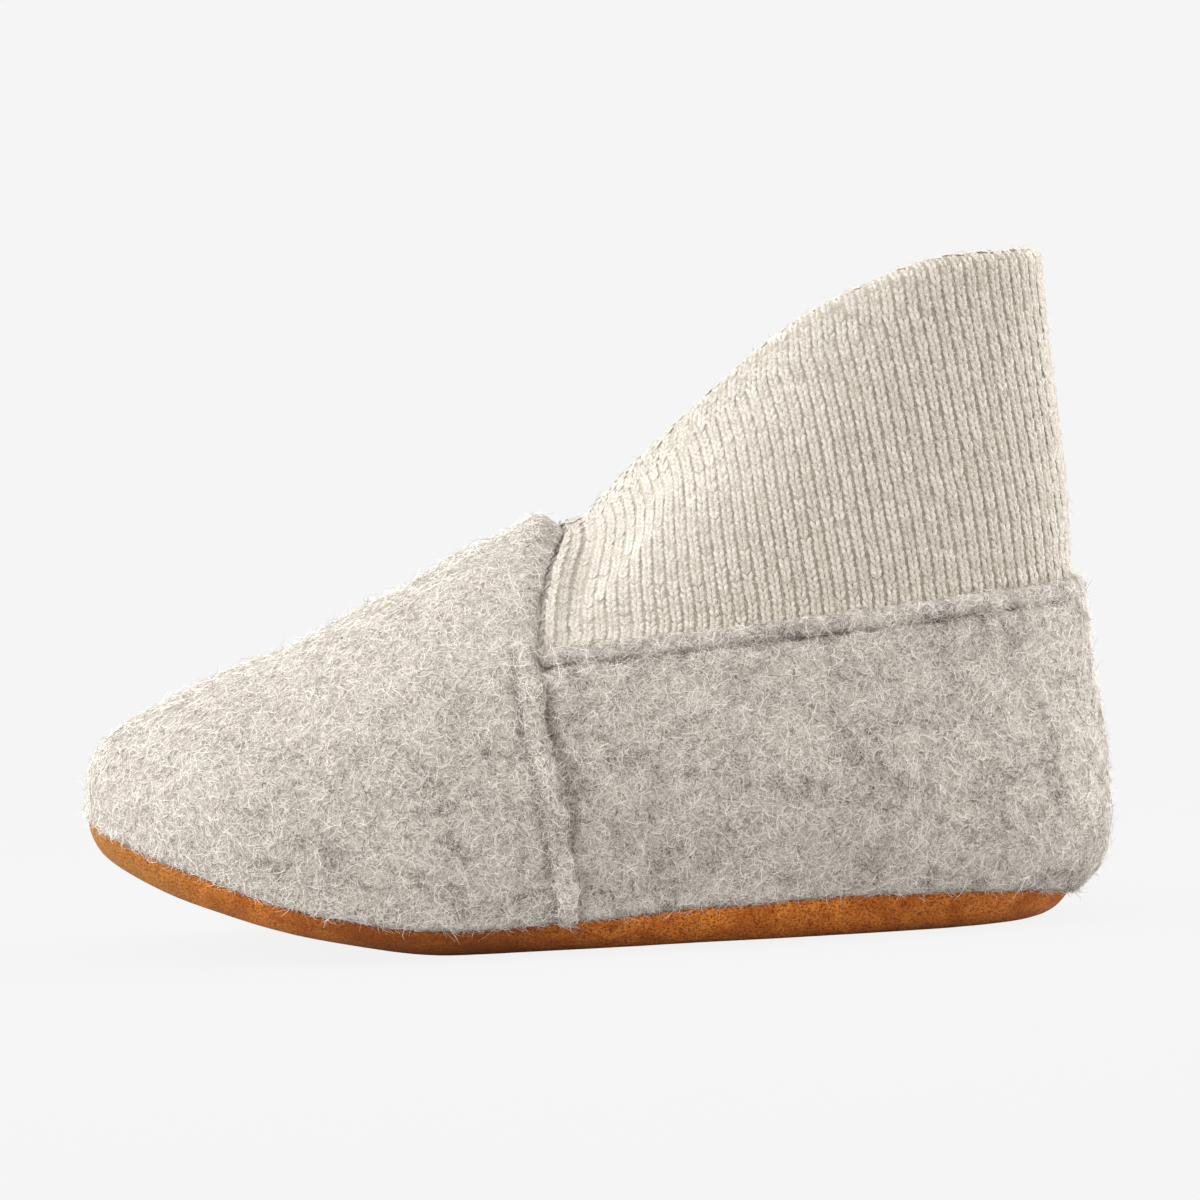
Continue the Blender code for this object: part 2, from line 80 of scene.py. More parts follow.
SOLE_COLUMNS = ("angle", "half_width", "middle", "seam_z", "tread_z")
SOLE_ROWS = (
    (0, 33.5, 2.4, 17.3, 12.9),
    (20, 33.6, 2.2, 15.1, 11.2),
    (40, 33.4, 1.6, 10.8, 6.8),
    (60, 31.4, 0.6, 5.4, 2.2),
    (76, 28.8, -0.3, 3.3, 0.0),
    (90, 26.2, -1.0, 3.7, 0.0),
    (105, 24.2, -1.2, 4.5, 0.0),
    (126, 25.0, -0.6, 4.9, 0.0),
    (150, 27.6, 0.0, 4.2, 0.0),
    (180, 28.0, 0.0, 3.0, 1.0),
)
VAMP_COLUMNS = ("angle", "crown", "foot_out", "foot_up", "crown_half", "bow")
VAMP_ROWS = (
    (0, 39.0, 0.05, 0.55, 0.60, 0.0),
    (12, 30.4, 0.06, 0.54, 0.61, 0.0),
    (25, 28.4, 0.08, 0.52, 0.62, 0.0),
    (50, 33.8, 0.14, 0.45, 0.70, 0.8),
    (70, 41.6, 0.18, 0.38, 0.80, 2.2),
    (80, 45.6, 0.20, 0.36, 0.84, 3.0),
    (90, 46.8, 0.22, 0.34, 0.88, 3.8),
)
QUARTER_COLUMNS = ("angle", "foot_out", "foot_up", "head_out", "head_down")
QUARTER_ROWS = (
    (90, 4.0, 8.6, 4.0, 11.0),
    (120, 5.5, 8.0, 3.0, 13.0),
    (150, 7.6, 5.0, 2.4, 16.0),
    (180, 9.4, 2.0, 1.2, 19.0),
)
UP = np.array((0.0, 0.0, 1.0))
HEELWARD = np.array((1.0, 0.0, 0.0))


def wrap(angle):
    """The same direction, at most half a turn to either side of the toe."""
    return (np.asarray(angle, float) + 180.0) % 360.0 - 180.0


def read(columns, rows, name, angle):
    """One named column of a table at any angles, on a smooth curve that never overshoots its rows."""
    knots = np.array([row[0] for row in rows], float)
    values = np.array([row[columns.index(name)] for row in rows], float)
    steps = np.diff(knots)
    slopes = np.diff(values) / steps
    tangents = np.zeros(len(knots))
    for i in range(1, len(knots) - 1):
        if slopes[i - 1] * slopes[i] > 0.0:
            before = 2.0 * steps[i] + steps[i - 1]
            after = steps[i] + 2.0 * steps[i - 1]
            tangents[i] = (before + after) / (before / slopes[i - 1] + after / slopes[i])
    turn = np.abs(wrap(angle))
    i = np.clip(np.searchsorted(knots, turn, side="right") - 1, 0, len(knots) - 2)
    t = (turn - knots[i]) / steps[i]
    start = (1.0 + 2.0 * t) * (1.0 - t) ** 2 * values[i] + t * (1.0 - t) ** 2 * steps[i] * tangents[i]
    end = t * t * (3.0 - 2.0 * t) * values[i + 1] + t * t * (t - 1.0) * steps[i] * tangents[i + 1]
    return (start + end)[..., None]


sole_value = partial(read, SOLE_COLUMNS, SOLE_ROWS)
vamp_value = partial(read, VAMP_COLUMNS, VAMP_ROWS)
quarter_value = partial(read, QUARTER_COLUMNS, QUARTER_ROWS)
print("last of", SOLE_LENGTH, "mm, half width at the ball", float(sole_value("half_width", 76.0)[0]), "mm")

# %% [markdown]
# ## Faces of the felt
# The vamp is a row of arched sections, each a curve from the sole's seam up to the crown. The quarter is a
# row of upright curves from the seam to the topline, which take over the arch's own shape at the side seam.
# They could be sculpted by eye, but the same formulas made the solids, so the soft surfaces lie on them.

# %% Curves and directions
CORNER_SHARE = 0.545
BOW_POWER = 2.6
HEEL_TOP_X = 123.0
HEEL_TOP_RISE = 4.4
HEEL_TOP_POWER = 1.3
QUARTER_BLEND = 45.0
OUTLINE_STEP = 0.5


def unit(vectors):
    return vectors / np.linalg.norm(vectors, axis=-1, keepdims=True)


def bezier(p0, p1, p2, p3, t):
    return (1 - t) ** 3 * p0 + 3 * t * (1 - t) ** 2 * p1 + 3 * t * t * (1 - t) * p2 + t ** 3 * p3


def ramp(value, start, run):
    """A share that goes smoothly from 0 at the start to 1 at the end of the run."""
    share = np.clip((value - start) / run, 0.0, 1.0)
    return share * share * (3.0 - 2.0 * share)


def blunt(angle):
    """Sine of the angle without its sign, with its ends blunted."""
    return (np.abs(np.sin(np.radians(angle))) ** OUTLINE_POWER)[..., None]


def side_of(angle):
    """Sideways direction of the angle's side of the shoe, -Y on the outer side."""
    return np.where(wrap(angle) < 0.0, -1.0, 1.0)[..., None] * np.array((0.0, 1.0, 0.0))


def seam_line(angle):
    """The line where suede meets felt."""
    angle = np.asarray(angle, float)
    line = side_of(angle) * sole_value("half_width", angle) * blunt(angle) + sole_value("seam_z", angle) * UP
    line[..., 0] += SOLE_LENGTH * (1.0 - np.cos(np.radians(angle))) / 2.0
    line[..., 1] += sole_value("middle", angle)[..., 0]
    return line


def outward(angle):
    """Horizontal direction that points away from the shoe, square to the sole's outline."""
    along = seam_line(np.asarray(angle) + OUTLINE_STEP) - seam_line(np.asarray(angle) - OUTLINE_STEP)
    return unit(np.cross(UP, along * (1.0, 1.0, 0.0)))


print("seam at the toe", np.round(seam_line(0.0), 1), "and at the heel", np.round(seam_line(180.0), 1))


# %% Vamp and quarter
def vamp_handles(angle):
    """Ends and handles of a half section of the vamp, from the sole's seam to the crown."""
    foot = seam_line(angle)
    half = sole_value("half_width", angle) * blunt(angle)
    height = vamp_value("crown", angle) * blunt(angle)
    crown = foot * (1.0, 0.0, 1.0) + height * UP
    crown[..., 1] = sole_value("middle", angle)[..., 0]
    foot_handle = foot + outward(angle) * vamp_value("foot_out", angle) * half
    foot_handle = foot_handle + vamp_value("foot_up", angle) * height * UP
    crown_handle = crown + side_of(angle) * vamp_value("crown_half", angle) * half
    return foot, foot_handle, crown_handle, crown


def split_handles(angle):
    """The part of the seam section below the topline: its end point and its two handles as offsets."""
    p0, p1, p2, p3 = vamp_handles(angle)
    t = CORNER_SHARE
    near = p0 + (p1 - p0) * t
    middle = p1 + (p2 - p1) * t
    far = p2 + (p3 - p2) * t
    before = near + (middle - near) * t
    after = middle + (far - middle) * t
    corner = before + (after - before) * t
    return corner, near - p0, before - corner


def topline(angle):
    """Upper edge of the quarter, from the seam section's corner round the heel."""
    angle = wrap(angle)
    line, _, _ = split_handles(np.where(angle < 0.0, -90.0, 90.0))
    back = np.radians(np.clip(np.abs(angle), 90.0, 180.0) - 90.0)
    run = np.sin(back)
    line[..., 0] += (HEEL_TOP_X - line[..., 0]) * run
    line[..., 1] *= np.abs(np.cos(back)) ** OUTLINE_POWER
    line[..., 2] += HEEL_TOP_RISE * run ** HEEL_TOP_POWER
    return line


def quarter_share(angle):
    """How far a column of the quarter has left the seam section's form, none at the side seam."""
    return ramp(np.abs(wrap(angle)), 90.0, QUARTER_BLEND)[..., None]


def quarter_handles(angle):
    """Ends and handles of a column of the quarter, which takes over the seam section's curve at the seam."""
    _, seam_foot, seam_head = split_handles(np.where(wrap(angle) < 0.0, -90.0, 90.0))
    away = outward(angle)
    foot = away * quarter_value("foot_out", angle) + quarter_value("foot_up", angle) * UP
    head = away * quarter_value("head_out", angle) - quarter_value("head_down", angle) * UP
    share = quarter_share(angle)
    low = seam_line(angle)
    high = topline(angle)
    foot_handle = low + seam_foot + (foot - seam_foot) * share
    head_handle = high + seam_head + (head - seam_head) * share
    return low, foot_handle, head_handle, high


print("topline at the heel", np.round(topline(180.0), 1))

# %% Faces of the felt
NORMAL_TURN = 0.3
NORMAL_SHARE = 0.003


def foot_direction(angle):
    """The way the felt leaves the sole's seam."""
    rise = vamp_value("foot_up", angle) * vamp_value("crown", angle) * UP
    ahead = outward(angle) * vamp_value("foot_out", angle) * sole_value("half_width", angle) + rise
    low, low_handle, _, _ = quarter_handles(angle)
    return unit(np.where((np.abs(wrap(angle)) > 90.0)[..., None], low_handle - low, ahead))


def section_bow(t):
    """Share of a section's forward bow at a place along its half: none at the sole, level at the crown."""
    peak = BOW_POWER / (BOW_POWER + 2.0)
    return np.clip(t, 0.0, 1.0) ** BOW_POWER * (1.0 - t) ** 2 / (peak ** BOW_POWER * (1.0 - peak) ** 2)


def felt_face(angle, t, handles, bow):
    """Outer face of the felt without its relief, seated on the sole's edge with a small gap."""
    seat = SEAT_GAP * foot_direction(angle) * (1.0 - t) ** 3
    return bezier(*handles(angle), t) + seat - bow * HEELWARD


def vamp_face(angle, t):
    angle = np.asarray(angle, float)
    t = np.asarray(t, float)[..., None]
    return felt_face(angle, t, vamp_handles, vamp_value("bow", angle) * section_bow(t))


def quarter_face(angle, v):
    angle = np.asarray(angle, float)
    v = np.asarray(v, float)[..., None]
    bow = vamp_value("bow", np.array(90.0)) * section_bow(v * CORNER_SHARE) * (1.0 - quarter_share(angle))
    return felt_face(angle, v, quarter_handles, bow)


def felt_normal(face, angle, t):
    """Unit normal of a felt face, pointing out of the shoe."""
    angle = np.asarray(angle, float)
    t = np.asarray(t, float)
    across = face(angle + NORMAL_TURN, t) - face(angle - NORMAL_TURN, t)
    along = face(angle, t + NORMAL_SHARE) - face(angle, t - NORMAL_SHARE)
    return unit(np.cross(along, across))


print("throat crown at", np.round(vamp_face(90.0, 1.0), 1))
print("heel top at", np.round(quarter_face(180.0, 1.0), 1))

# %% [markdown]
# ## Camera
# A long lens from far away keeps the slipper's proportions. The camera stands a little above the floor and
# is rolled by the few degrees by which the slipper leans in the picture, so the slipper itself stays upright.

# %% Camera
CAMERA_DISTANCE = 0.8
CAMERA_ELEVATION = math.radians(2.5)
CAMERA_ROLL = math.radians(2.48)
CAMERA_AIM = Vector((0.00116, 0.0, 0.0406))
SENSOR = 36.0
FRAME_WIDTH = 0.1465

camera = bpy.data.objects.new("camera", bpy.data.cameras.new("camera"))
bpy.context.scene.collection.objects.link(camera)
backward = Vector((0.0, -math.cos(CAMERA_ELEVATION), math.sin(CAMERA_ELEVATION)))
camera.location = CAMERA_AIM + backward * CAMERA_DISTANCE
camera.rotation_mode = "QUATERNION"
upright = (-backward).to_track_quat("-Z", "Y")
camera.rotation_quaternion = upright @ Quaternion((0.0, 0.0, 1.0), -CAMERA_ROLL)
camera.data.sensor_width = SENSOR
camera.data.lens = SENSOR * CAMERA_DISTANCE / FRAME_WIDTH
bpy.context.scene.camera = camera
print("lens", round(camera.data.lens, 1), "mm")

# %% [markdown]
# ## Nodes by name
# Materials and Geometry Nodes trees are both made of nodes, sockets and links. They could be wired by hand
# in the editor; here one helper adds a node, sets its properties and fills its inputs, with a value or with
# a link from another node's output, so that a tree reads like a list of steps.

# %% Node helpers
def add_node(tree, kind, inputs=None, **settings):
    """A new node with its properties and inputs set; an input that is given a socket is linked to it."""
    node = tree.nodes.new(kind)
    for name, value in settings.items():
        setattr(node, name, value)
    for name, value in (inputs or {}).items():
        if isinstance(value, bpy.types.NodeSocket):
            tree.links.new(value, node.inputs[name])
        else:
            node.inputs[name].default_value = value
    return node


def new_group(name, kind, inputs, outputs):
    """An empty node group with named sockets: its tree, its input node and its output node."""
    tree = bpy.data.node_groups.new(name, kind)
    for sockets, way in ((inputs, "INPUT"), (outputs, "OUTPUT")):
        for label, socket in sockets.items():
            tree.interface.new_socket(label, in_out=way, socket_type=socket)
    return tree, tree.nodes.new("NodeGroupInput"), tree.nodes.new("NodeGroupOutput")


def spread(tree, value, low, high, to_low=0.0, to_high=1.0):
    """Socket of a value whose range from low to high is spread smoothly to another range."""
    spread_node = add_node(tree, "ShaderNodeMapRange", {
        "Value": value, 1: low, 2: high, 3: to_low, 4: to_high}, interpolation_type="SMOOTHSTEP")
    return spread_node.outputs[0]


# %% [markdown]
# ## Floor and light
# The picture has a plain pale ground. A large floor shows one pale tone to the camera, whatever falls on it,
# and is a quiet matt surface for all other light, so only a breath of shadow is left under the sole. A weak
# softbox hangs above the slipper, two stronger ones brighten it from the toe's end and from the heel's end,
# and the bright surroundings fill the rest. The Standard view keeps the colours as they are set.

# %% Floor
GROUND_TONE = (0.913, 0.913, 0.913, 1.0)
BOUNCE_TONE = (0.55, 0.55, 0.55, 1.0)
SHADE_TONE = (0.6, 0.6, 0.6, 1.0)
FLOOR_RADIUS = 12.0
FLOOR_SIDES = 96
FLOOR_DROP = -0.0002
SHADOW_SHARE = 0.05
SHADOW_REACH = 0.30


def for_camera(tree, other_light, camera_light):
    """Socket of a shader that is one thing to the camera and another to all other light."""
    ray = add_node(tree, "ShaderNodeLightPath")
    either = add_node(tree, "ShaderNodeMixShader", {
        "Fac": ray.outputs["Is Camera Ray"], 1: other_light.outputs[0], 2: camera_light.outputs[0]})
    return either.outputs[0]


bpy.context.scene.view_settings.view_transform = "Standard"
floor_mesh = bpy.data.meshes.new("floor")
floor_shape = bmesh.new()
bmesh.ops.create_circle(floor_shape, cap_ends=True, segments=FLOOR_SIDES, radius=FLOOR_RADIUS)
bmesh.ops.translate(floor_shape, verts=floor_shape.verts, vec=(0.0, 0.0, FLOOR_DROP))
floor_shape.to_mesh(floor_mesh)
floor_shape.free()
floor = bpy.data.objects.new("floor", floor_mesh)
bpy.context.scene.collection.objects.link(floor)

paper = bpy.data.materials.new("pale ground")
paper.use_nodes = True
paper.node_tree.nodes.clear()
spot = add_node(paper.node_tree, "ShaderNodeTexCoord")
away = add_node(paper.node_tree, "ShaderNodeVectorMath", {0: spot.outputs["Object"]}, operation="LENGTH")
near = spread(paper.node_tree, away.outputs["Value"], 0.0, SHADOW_REACH, SHADOW_SHARE, 0.0)
matt = add_node(paper.node_tree, "ShaderNodeBsdfDiffuse", {"Color": BOUNCE_TONE})
shade = add_node(paper.node_tree, "ShaderNodeBsdfDiffuse", {"Color": SHADE_TONE})
glow = add_node(paper.node_tree, "ShaderNodeEmission", {"Color": GROUND_TONE})
seen = add_node(paper.node_tree, "ShaderNodeMixShader", {
    "Fac": near, 1: glow.outputs[0], 2: shade.outputs[0]})
add_node(paper.node_tree, "ShaderNodeOutputMaterial", {"Surface": for_camera(paper.node_tree, matt, seen)})
floor_mesh.materials.append(paper)
print("ground tone", GROUND_TONE[0])

# %% Light
WHITE = (1.0, 1.0, 1.0, 1.0)
AROUND_STRENGTH = 1.2
SOFTBOXES = (
    ("overhead softbox", (-0.20, -0.15, 0.90), 0.7, 1.0),
    ("toe side softbox", (-0.80, -0.10, 0.40), 0.6, 7.0),
    ("heel side softbox", (0.80, 0.20, 0.30), 0.6, 6.8),
)

world = bpy.data.worlds.new("studio")
bpy.context.scene.world = world
world.use_nodes = True
world.node_tree.nodes.clear()
around = add_node(world.node_tree, "ShaderNodeBackground", {"Color": WHITE, "Strength": AROUND_STRENGTH})
backdrop = add_node(world.node_tree, "ShaderNodeBackground", {"Color": GROUND_TONE, "Strength": 1.0})
add_node(world.node_tree, "ShaderNodeOutputWorld", {"Surface": for_camera(world.node_tree, around, backdrop)})
for name, place, size, power in SOFTBOXES:
    light = bpy.data.lights.new(name, "AREA")
    light.size = size
    light.energy = power
    lamp = bpy.data.objects.new(name, light)
    lamp.location = place
    lamp.visible_camera = False
    lamp.rotation_mode = "QUATERNION"
    lamp.rotation_quaternion = (CAMERA_AIM - lamp.location).to_track_quat("-Z", "Y")
    bpy.context.scene.collection.objects.link(lamp)
print(len(SOFTBOXES), "softboxes in surroundings of strength", AROUND_STRENGTH)


# %% [markdown]
# ## Wool colour
# Boiled wool is a mat of curled fibres, some cream and some grey-brown, never mixed quite evenly. An image
# could be wrapped round the shoe, but noises have no seam and no end. One node group gives the cloudy colour
# and the fine height of the mat. The wall of the felt, its loose hairs and the insole share it, each with its
# own colours. The three numbers of a noise are its detail, roughness and distortion.

# %% Wool group
PATCH_NOISE = (5.0, 0.72, 0.4)
PATCH_RANGE = (0.39, 0.67)
SPECK_NOISE = (2.0, 0.7, 1.2)
SPECK_RANGE = (0.44, 0.62)
SPECKLESS_PATCH = 0.40
LONE_SPECK = 0.3
STRAND_RANGE = (0.02, 0.07)
STRAND_NOISE = (1.0, 0.5)
MIDDLE_GREY = 0.5
FINE_CURL = 1.5
WIDE_CURL = 2.5
WIDE_SCALE = 0.6
STRAND_SHARE = 0.45
STRAND_HEIGHT = 0.6
MAT_NOISE = (3.0, 0.65, 2.0)
MAT_SCALE = 2.0
VALUE, COLOUR, VECTOR = "NodeSocketFloat", "NodeSocketColor", "NodeSocketVector"
WOOL_INPUTS = {"Position": VECTOR, "Light": COLOUR, "Dark": COLOUR, "Strand": COLOUR, "Patch Scale": VALUE,
               "Speck Scale": VALUE, "Strand Scale": VALUE, "Calm": VALUE}
WOOL_OUTPUTS = {"Colour": COLOUR, "Height": VALUE, "Patch": VALUE}


def mix_colour(tree, share, low, high, blend="MIX"):
    """Socket of a mix of two colours."""
    mixed = add_node(tree, "ShaderNodeMix", {0: share, 6: low, 7: high}, data_type="RGBA", blend_type=blend)
    return mixed.outputs[2]


def work_out(tree, operation, first, second):
    """Socket of a sum, product or other operation on two values."""
    return add_node(tree, "ShaderNodeMath", {0: first, 1: second}, operation=operation).outputs[0]


def times(tree, first, second):
    return work_out(tree, "MULTIPLY", first, second)


def noise_value(tree, place, scale, detail, roughness, distortion):
    """Socket of a noise texture's grey value."""
    cloud = add_node(tree, "ShaderNodeTexNoise", {
        "Vector": place, "Scale": scale, "Detail": detail, "Roughness": roughness, "Distortion": distortion})
    return cloud.outputs["Fac"]


def strands(tree, place, scale, curl):
    """Socket of thin curled lines: where a smooth noise crosses its middle value."""
    grey = noise_value(tree, place, scale, *STRAND_NOISE, curl)
    across_line = work_out(tree, "SUBTRACT", grey, MIDDLE_GREY)
    return spread(tree, work_out(tree, "ABSOLUTE", across_line, 0.0), *STRAND_RANGE, 1.0, 0.0)


def make_wool_group():
    """Shader group: mottled colour and matted height at a position in metres."""
    tree, group_input, result = new_group("wool_mottle", "ShaderNodeTree", WOOL_INPUTS, WOOL_OUTPUTS)
    given = group_input.outputs
    place = given["Position"]
    strand_scale = given["Strand Scale"]
    patch = spread(tree, noise_value(tree, place, given["Patch Scale"], *PATCH_NOISE), *PATCH_RANGE)
    patch = times(tree, patch, work_out(tree, "SUBTRACT", 1.0, given["Calm"]))
    speck = spread(tree, noise_value(tree, place, given["Speck Scale"], *SPECK_NOISE), *SPECK_RANGE)
    mostly = times(tree, patch, spread(tree, speck, 0.0, 1.0, SPECKLESS_PATCH, 1.0))
    darkness = work_out(tree, "MAXIMUM", mostly, times(tree, speck, LONE_SPECK))
    colour = mix_colour(tree, darkness, given["Light"], given["Dark"])
    fine = strands(tree, place, strand_scale, FINE_CURL)
    wide = strands(tree, place, times(tree, strand_scale, WIDE_SCALE), WIDE_CURL)
    lines = work_out(tree, "MAXIMUM", fine, wide)
    colour = mix_colour(tree, times(tree, lines, STRAND_SHARE), colour, given["Strand"])
    mat = noise_value(tree, place, times(tree, strand_scale, MAT_SCALE), *MAT_NOISE)
    height = work_out(tree, "ADD", mat, times(tree, lines, STRAND_HEIGHT))
    for label, socket in (("Colour", colour), ("Patch", mostly), ("Height", height)):
        tree.links.new(socket, result.inputs[label])
    return tree


WOOL = make_wool_group()
print("wool group with inputs", ", ".join(WOOL_INPUTS))

# %% [markdown]
# ## Felt
# Felt scatters light like plaster, with a faint pale sheen where its fibres stand against the light, so it
# has a rough Principled shader with a little sheen, and a bump from the mat's height. Where a seam squeezes
# it, it looks darker: partly its fibres lie flat, partly it is painted shade in the seam's groove and gap.
# The mesh says where, with a value on its points.

# %% Felt
FELT_LIGHT = (0.50, 0.44, 0.375, 1.0)
FELT_DARK = (0.10, 0.073, 0.053, 1.0)
FELT_STRAND = (0.88, 0.83, 0.76, 1.0)
# Pressed wool and painted shade: the dark colour of seam grooves and open seam gaps.
PRESSED_WOOL_AND_SHADE = (0.13, 0.105, 0.085, 1.0)
INSOLE_LIGHT = (0.62, 0.57, 0.50, 1.0)
INSOLE_DARK = (0.42, 0.37, 0.31, 1.0)
FELT_SCALES = {"Patch Scale": 230.0, "Speck Scale": 1100.0, "Strand Scale": 1500.0}
FELT_FINISH = {"Roughness": 0.95, "Specular IOR Level": 0.15, "Sheen Roughness": 0.6}
FELT_BUMP = (0.0003, 0.8)
FELT_SHEEN = 0.2
INSOLE_SHEEN = 0.1


def new_material(name, finish):
    """A material, its tree, its Principled shader with a constant finish, and its Object coordinates."""
    material = bpy.data.materials.new(name)
    material.use_nodes = True
    tree = material.node_tree
    shader = tree.nodes["Principled BSDF"]
    for socket, value in finish.items():
        shader.inputs[socket].default_value = value
    return material, tree, shader, add_node(tree, "ShaderNodeTexCoord").outputs["Object"]


def add_bump(tree, shader, height, distance, strength):
    """Small relief on the shader's normal; distance is in metres."""
    bump = add_node(tree, "ShaderNodeBump", {"Height": height, "Distance": distance, "Strength": strength})
    tree.links.new(bump.outputs["Normal"], shader.inputs["Normal"])


def mesh_value(tree, name):
    """Socket of a value that the mesh carries on its points."""
    return add_node(tree, "ShaderNodeAttribute", attribute_name=name).outputs["Fac"]


def add_wool(tree, place, light, dark):
    """The wool group's outputs, with two colours and the felt's own scales."""
    wool = add_node(tree, "ShaderNodeGroup", {
        "Position": place, "Calm": mesh_value(tree, "calm"), "Light": light, "Dark": dark,
        "Strand": FELT_STRAND, **FELT_SCALES}, node_tree=WOOL)
    return wool.outputs


def make_felt(name, light, dark, sheen):
    """Matted wool felt, darker where a seam squeezes it: pressed fibres and painted shade."""
    material, tree, shader, place = new_material(name, {**FELT_FINISH, "Sheen Weight": sheen})
    wool = add_wool(tree, place, light, dark)
    colour = mix_colour(tree, mesh_value(tree, "press"), wool["Colour"], PRESSED_WOOL_AND_SHADE)
    tree.links.new(colour, shader.inputs["Base Color"])
    add_bump(tree, shader, wool["Height"], *FELT_BUMP)
    return material


felt = make_felt("mottled felt", FELT_LIGHT, FELT_DARK, FELT_SHEEN)
insole_felt = make_felt("insole felt", INSOLE_LIGHT, INSOLE_DARK, INSOLE_SHEEN)
print("felt materials:", felt.name, "and", insole_felt.name)

# %% [markdown]
# ## A wall of felt
# Felt is thick: its edge is as plain to see as its face. So a felt piece is made as a closed wall, an outer
# face, a rounded edge and an inner face, all from the same grid of points. A Solidify modifier could add the
# thickness, but here the edge is rounded and the inner face stays even. Noise of three sizes moves the outer
# face, because boiled wool is never quite even, and a value on each point says how hairy it is.

# %% Wall helpers
LUMPS = ((14.0, 0.30), (4.5, 0.18), (1.7, 0.12))
HAIR_ROOM = 0.35
SEED_SHIFT = (17.3, 5.1)
LAYER_SHIFT = (3.7, 9.7)
SEEDS = {"vamp": 1, "quarter": 2, "hem": 3, "sole": 4, "insole": 5, "hem stitches": 6, "side seam": 7,
         "ridge": 8, "ridge wave": 9, "vamp edge": 10, "curl": 11, "hair": 12, "tilt": 21, "pick": 22,
         "scale": 23, "tone": 24, "stitches": 41}


def lumps(places, sizes, seed):
    """Sum of smooth noises at points in millimetres; each row of sizes is a lump's width and height."""
    flat = places.reshape(-1, 3)
    total = np.zeros(len(flat))
    for k, (width, height) in enumerate(sizes):
        first = seed * SEED_SHIFT[0] + k * LAYER_SHIFT[0]
        shift = Vector((first, seed * SEED_SHIFT[1], k * LAYER_SHIFT[1]))
        total += height * np.array([noise.noise(Vector(p) / width + shift) for p in flat])
    return total.reshape(places.shape[:-1])


def to_part(places):
    """Points in millimetres of the shoe as a list of points in metres of the part."""
    return ((np.asarray(places).reshape(-1, 3) - ORIGIN) * MM).tolist()


def finish_mesh(name, places, faces, material):
    """A smooth closed mesh from points in millimetres, its faces turned outwards, linked as an object."""
    mesh = bpy.data.meshes.new(name)
    mesh.from_pydata(to_part(places), [], faces)
    shape = bmesh.new()
    shape.from_mesh(mesh)
    bmesh.ops.recalc_face_normals(shape, faces=shape.faces)
    shape.to_mesh(mesh)
    shape.free()
    mesh.shade_smooth()
    mesh.materials.append(material)
    piece = bpy.data.objects.new(name, mesh)
    bpy.context.scene.collection.objects.link(piece)
    return piece


def keep_values(mesh, label, values):
    """Keeps a value, or a vector, for each point of a mesh under a name."""
    kind, field = ("FLOAT_VECTOR", "vector") if values.ndim > 1 else ("FLOAT", "value")
    attribute = mesh.attributes.new(label, kind, "POINT")
    attribute.data.foreach_set(field, values.ravel().astype(np.float32))


print("felt lumps of at most", round(sum(height for _, height in LUMPS), 2), "mm")


# %% Felt wall
def grid_faces(rows, size, around=False):
    """Quads of a grid of points, row after row; around also joins the end of each row to its start."""
    return [(i * size + j, i * size + (j + 1) % size, (i + 1) * size + (j + 1) % size, (i + 1) * size + j)
            for i in range(rows - 1) for j in range(size if around else size - 1)]


def felt_wall(name, outer, edge, inner, values, tips=None):
    """A closed wall: rows of the outer face, its rounded edge and the inner face, all with as many points.

    Without tips the first rows of both faces are joined; with tips each closes in a point of its own. The
    values are kept on the points of the outer face under their names."""
    grid = np.concatenate([outer, edge, inner[::-1]])
    rows, size = grid.shape[:2]
    count = len(outer)
    faces = grid_faces(rows, size)
    for j in (0, size - 1):
        for i in range(count - 1):
            faces.append(tuple(k * size + j for k in (i, i + 1, rows - 2 - i, rows - 1 - i)))
        faces.append(tuple(k * size + j for k in range(count - 1, rows - count + 1)))
    places = grid.reshape(-1, 3)
    last = (rows - 1) * size
    if tips is None:
        faces += [(j, j + 1, last + j + 1, last + j) for j in range(size - 1)]
    else:
        front, behind = len(places), len(places) + 1
        places = np.concatenate([places, tips])
        faces += [(front, j, j + 1) for j in range(size - 1)]
        faces += [(behind, last + j, last + j + 1) for j in range(size - 1)]
        faces += [(front, j, last + j, behind) for j in (0, size - 1)]
    piece = finish_mesh(name, places, faces, felt)
    for label, known in values.items():
        everywhere = np.zeros(len(places))
        everywhere[:known.size] = known.ravel()
        keep_values(piece.data, label, everywhere)
    return piece


def rounded_edge(outer, inner, ahead, steps):
    """Rows that round the wall's edge from its last outer row to its last inner row."""
    middle = (outer + inner) / 2.0
    half = (outer - inner) / 2.0
    turns = np.linspace(0.0, math.pi, steps + 2)[1:-1]
    return np.array([middle + half * math.cos(turn) + ahead * math.sin(turn) for turn in turns])


# %% [markdown]
# ## Creases
# A foot has bent the felt, and it keeps a few soft creases. Cloth simulation would put them anywhere, so each
# is placed one by one, in the shoe's own sizes: a line seen from its side, a half width and a depth.

# %% Creases
CREASE_COLUMNS = ("panel", "side", "x0", "z0", "x1", "z1", "half_width", "depth")
CREASE_ROWS = (
    ("vamp", -1, 45.0, 40.0, 55.0, 14.0, 4.5, 0.45),
    ("vamp", 1, 44.0, 40.0, 53.0, 16.0, 4.5, 0.40),
    ("vamp", -1, 24.0, 27.0, 33.0, 14.0, 5.0, 0.25),
    ("quarter", -1, 67.0, 33.0, 71.0, 10.0, 4.0, 0.40),
    ("quarter", -1, 103.0, 33.0, 108.0, 14.0, 4.5, 0.35),
    ("quarter", 1, 70.0, 33.0, 76.0, 12.0, 4.0, 0.40),
)
CREASE_FADE = 6.0


def bell(distance, width):
    return np.exp(-(distance / width) ** 2)


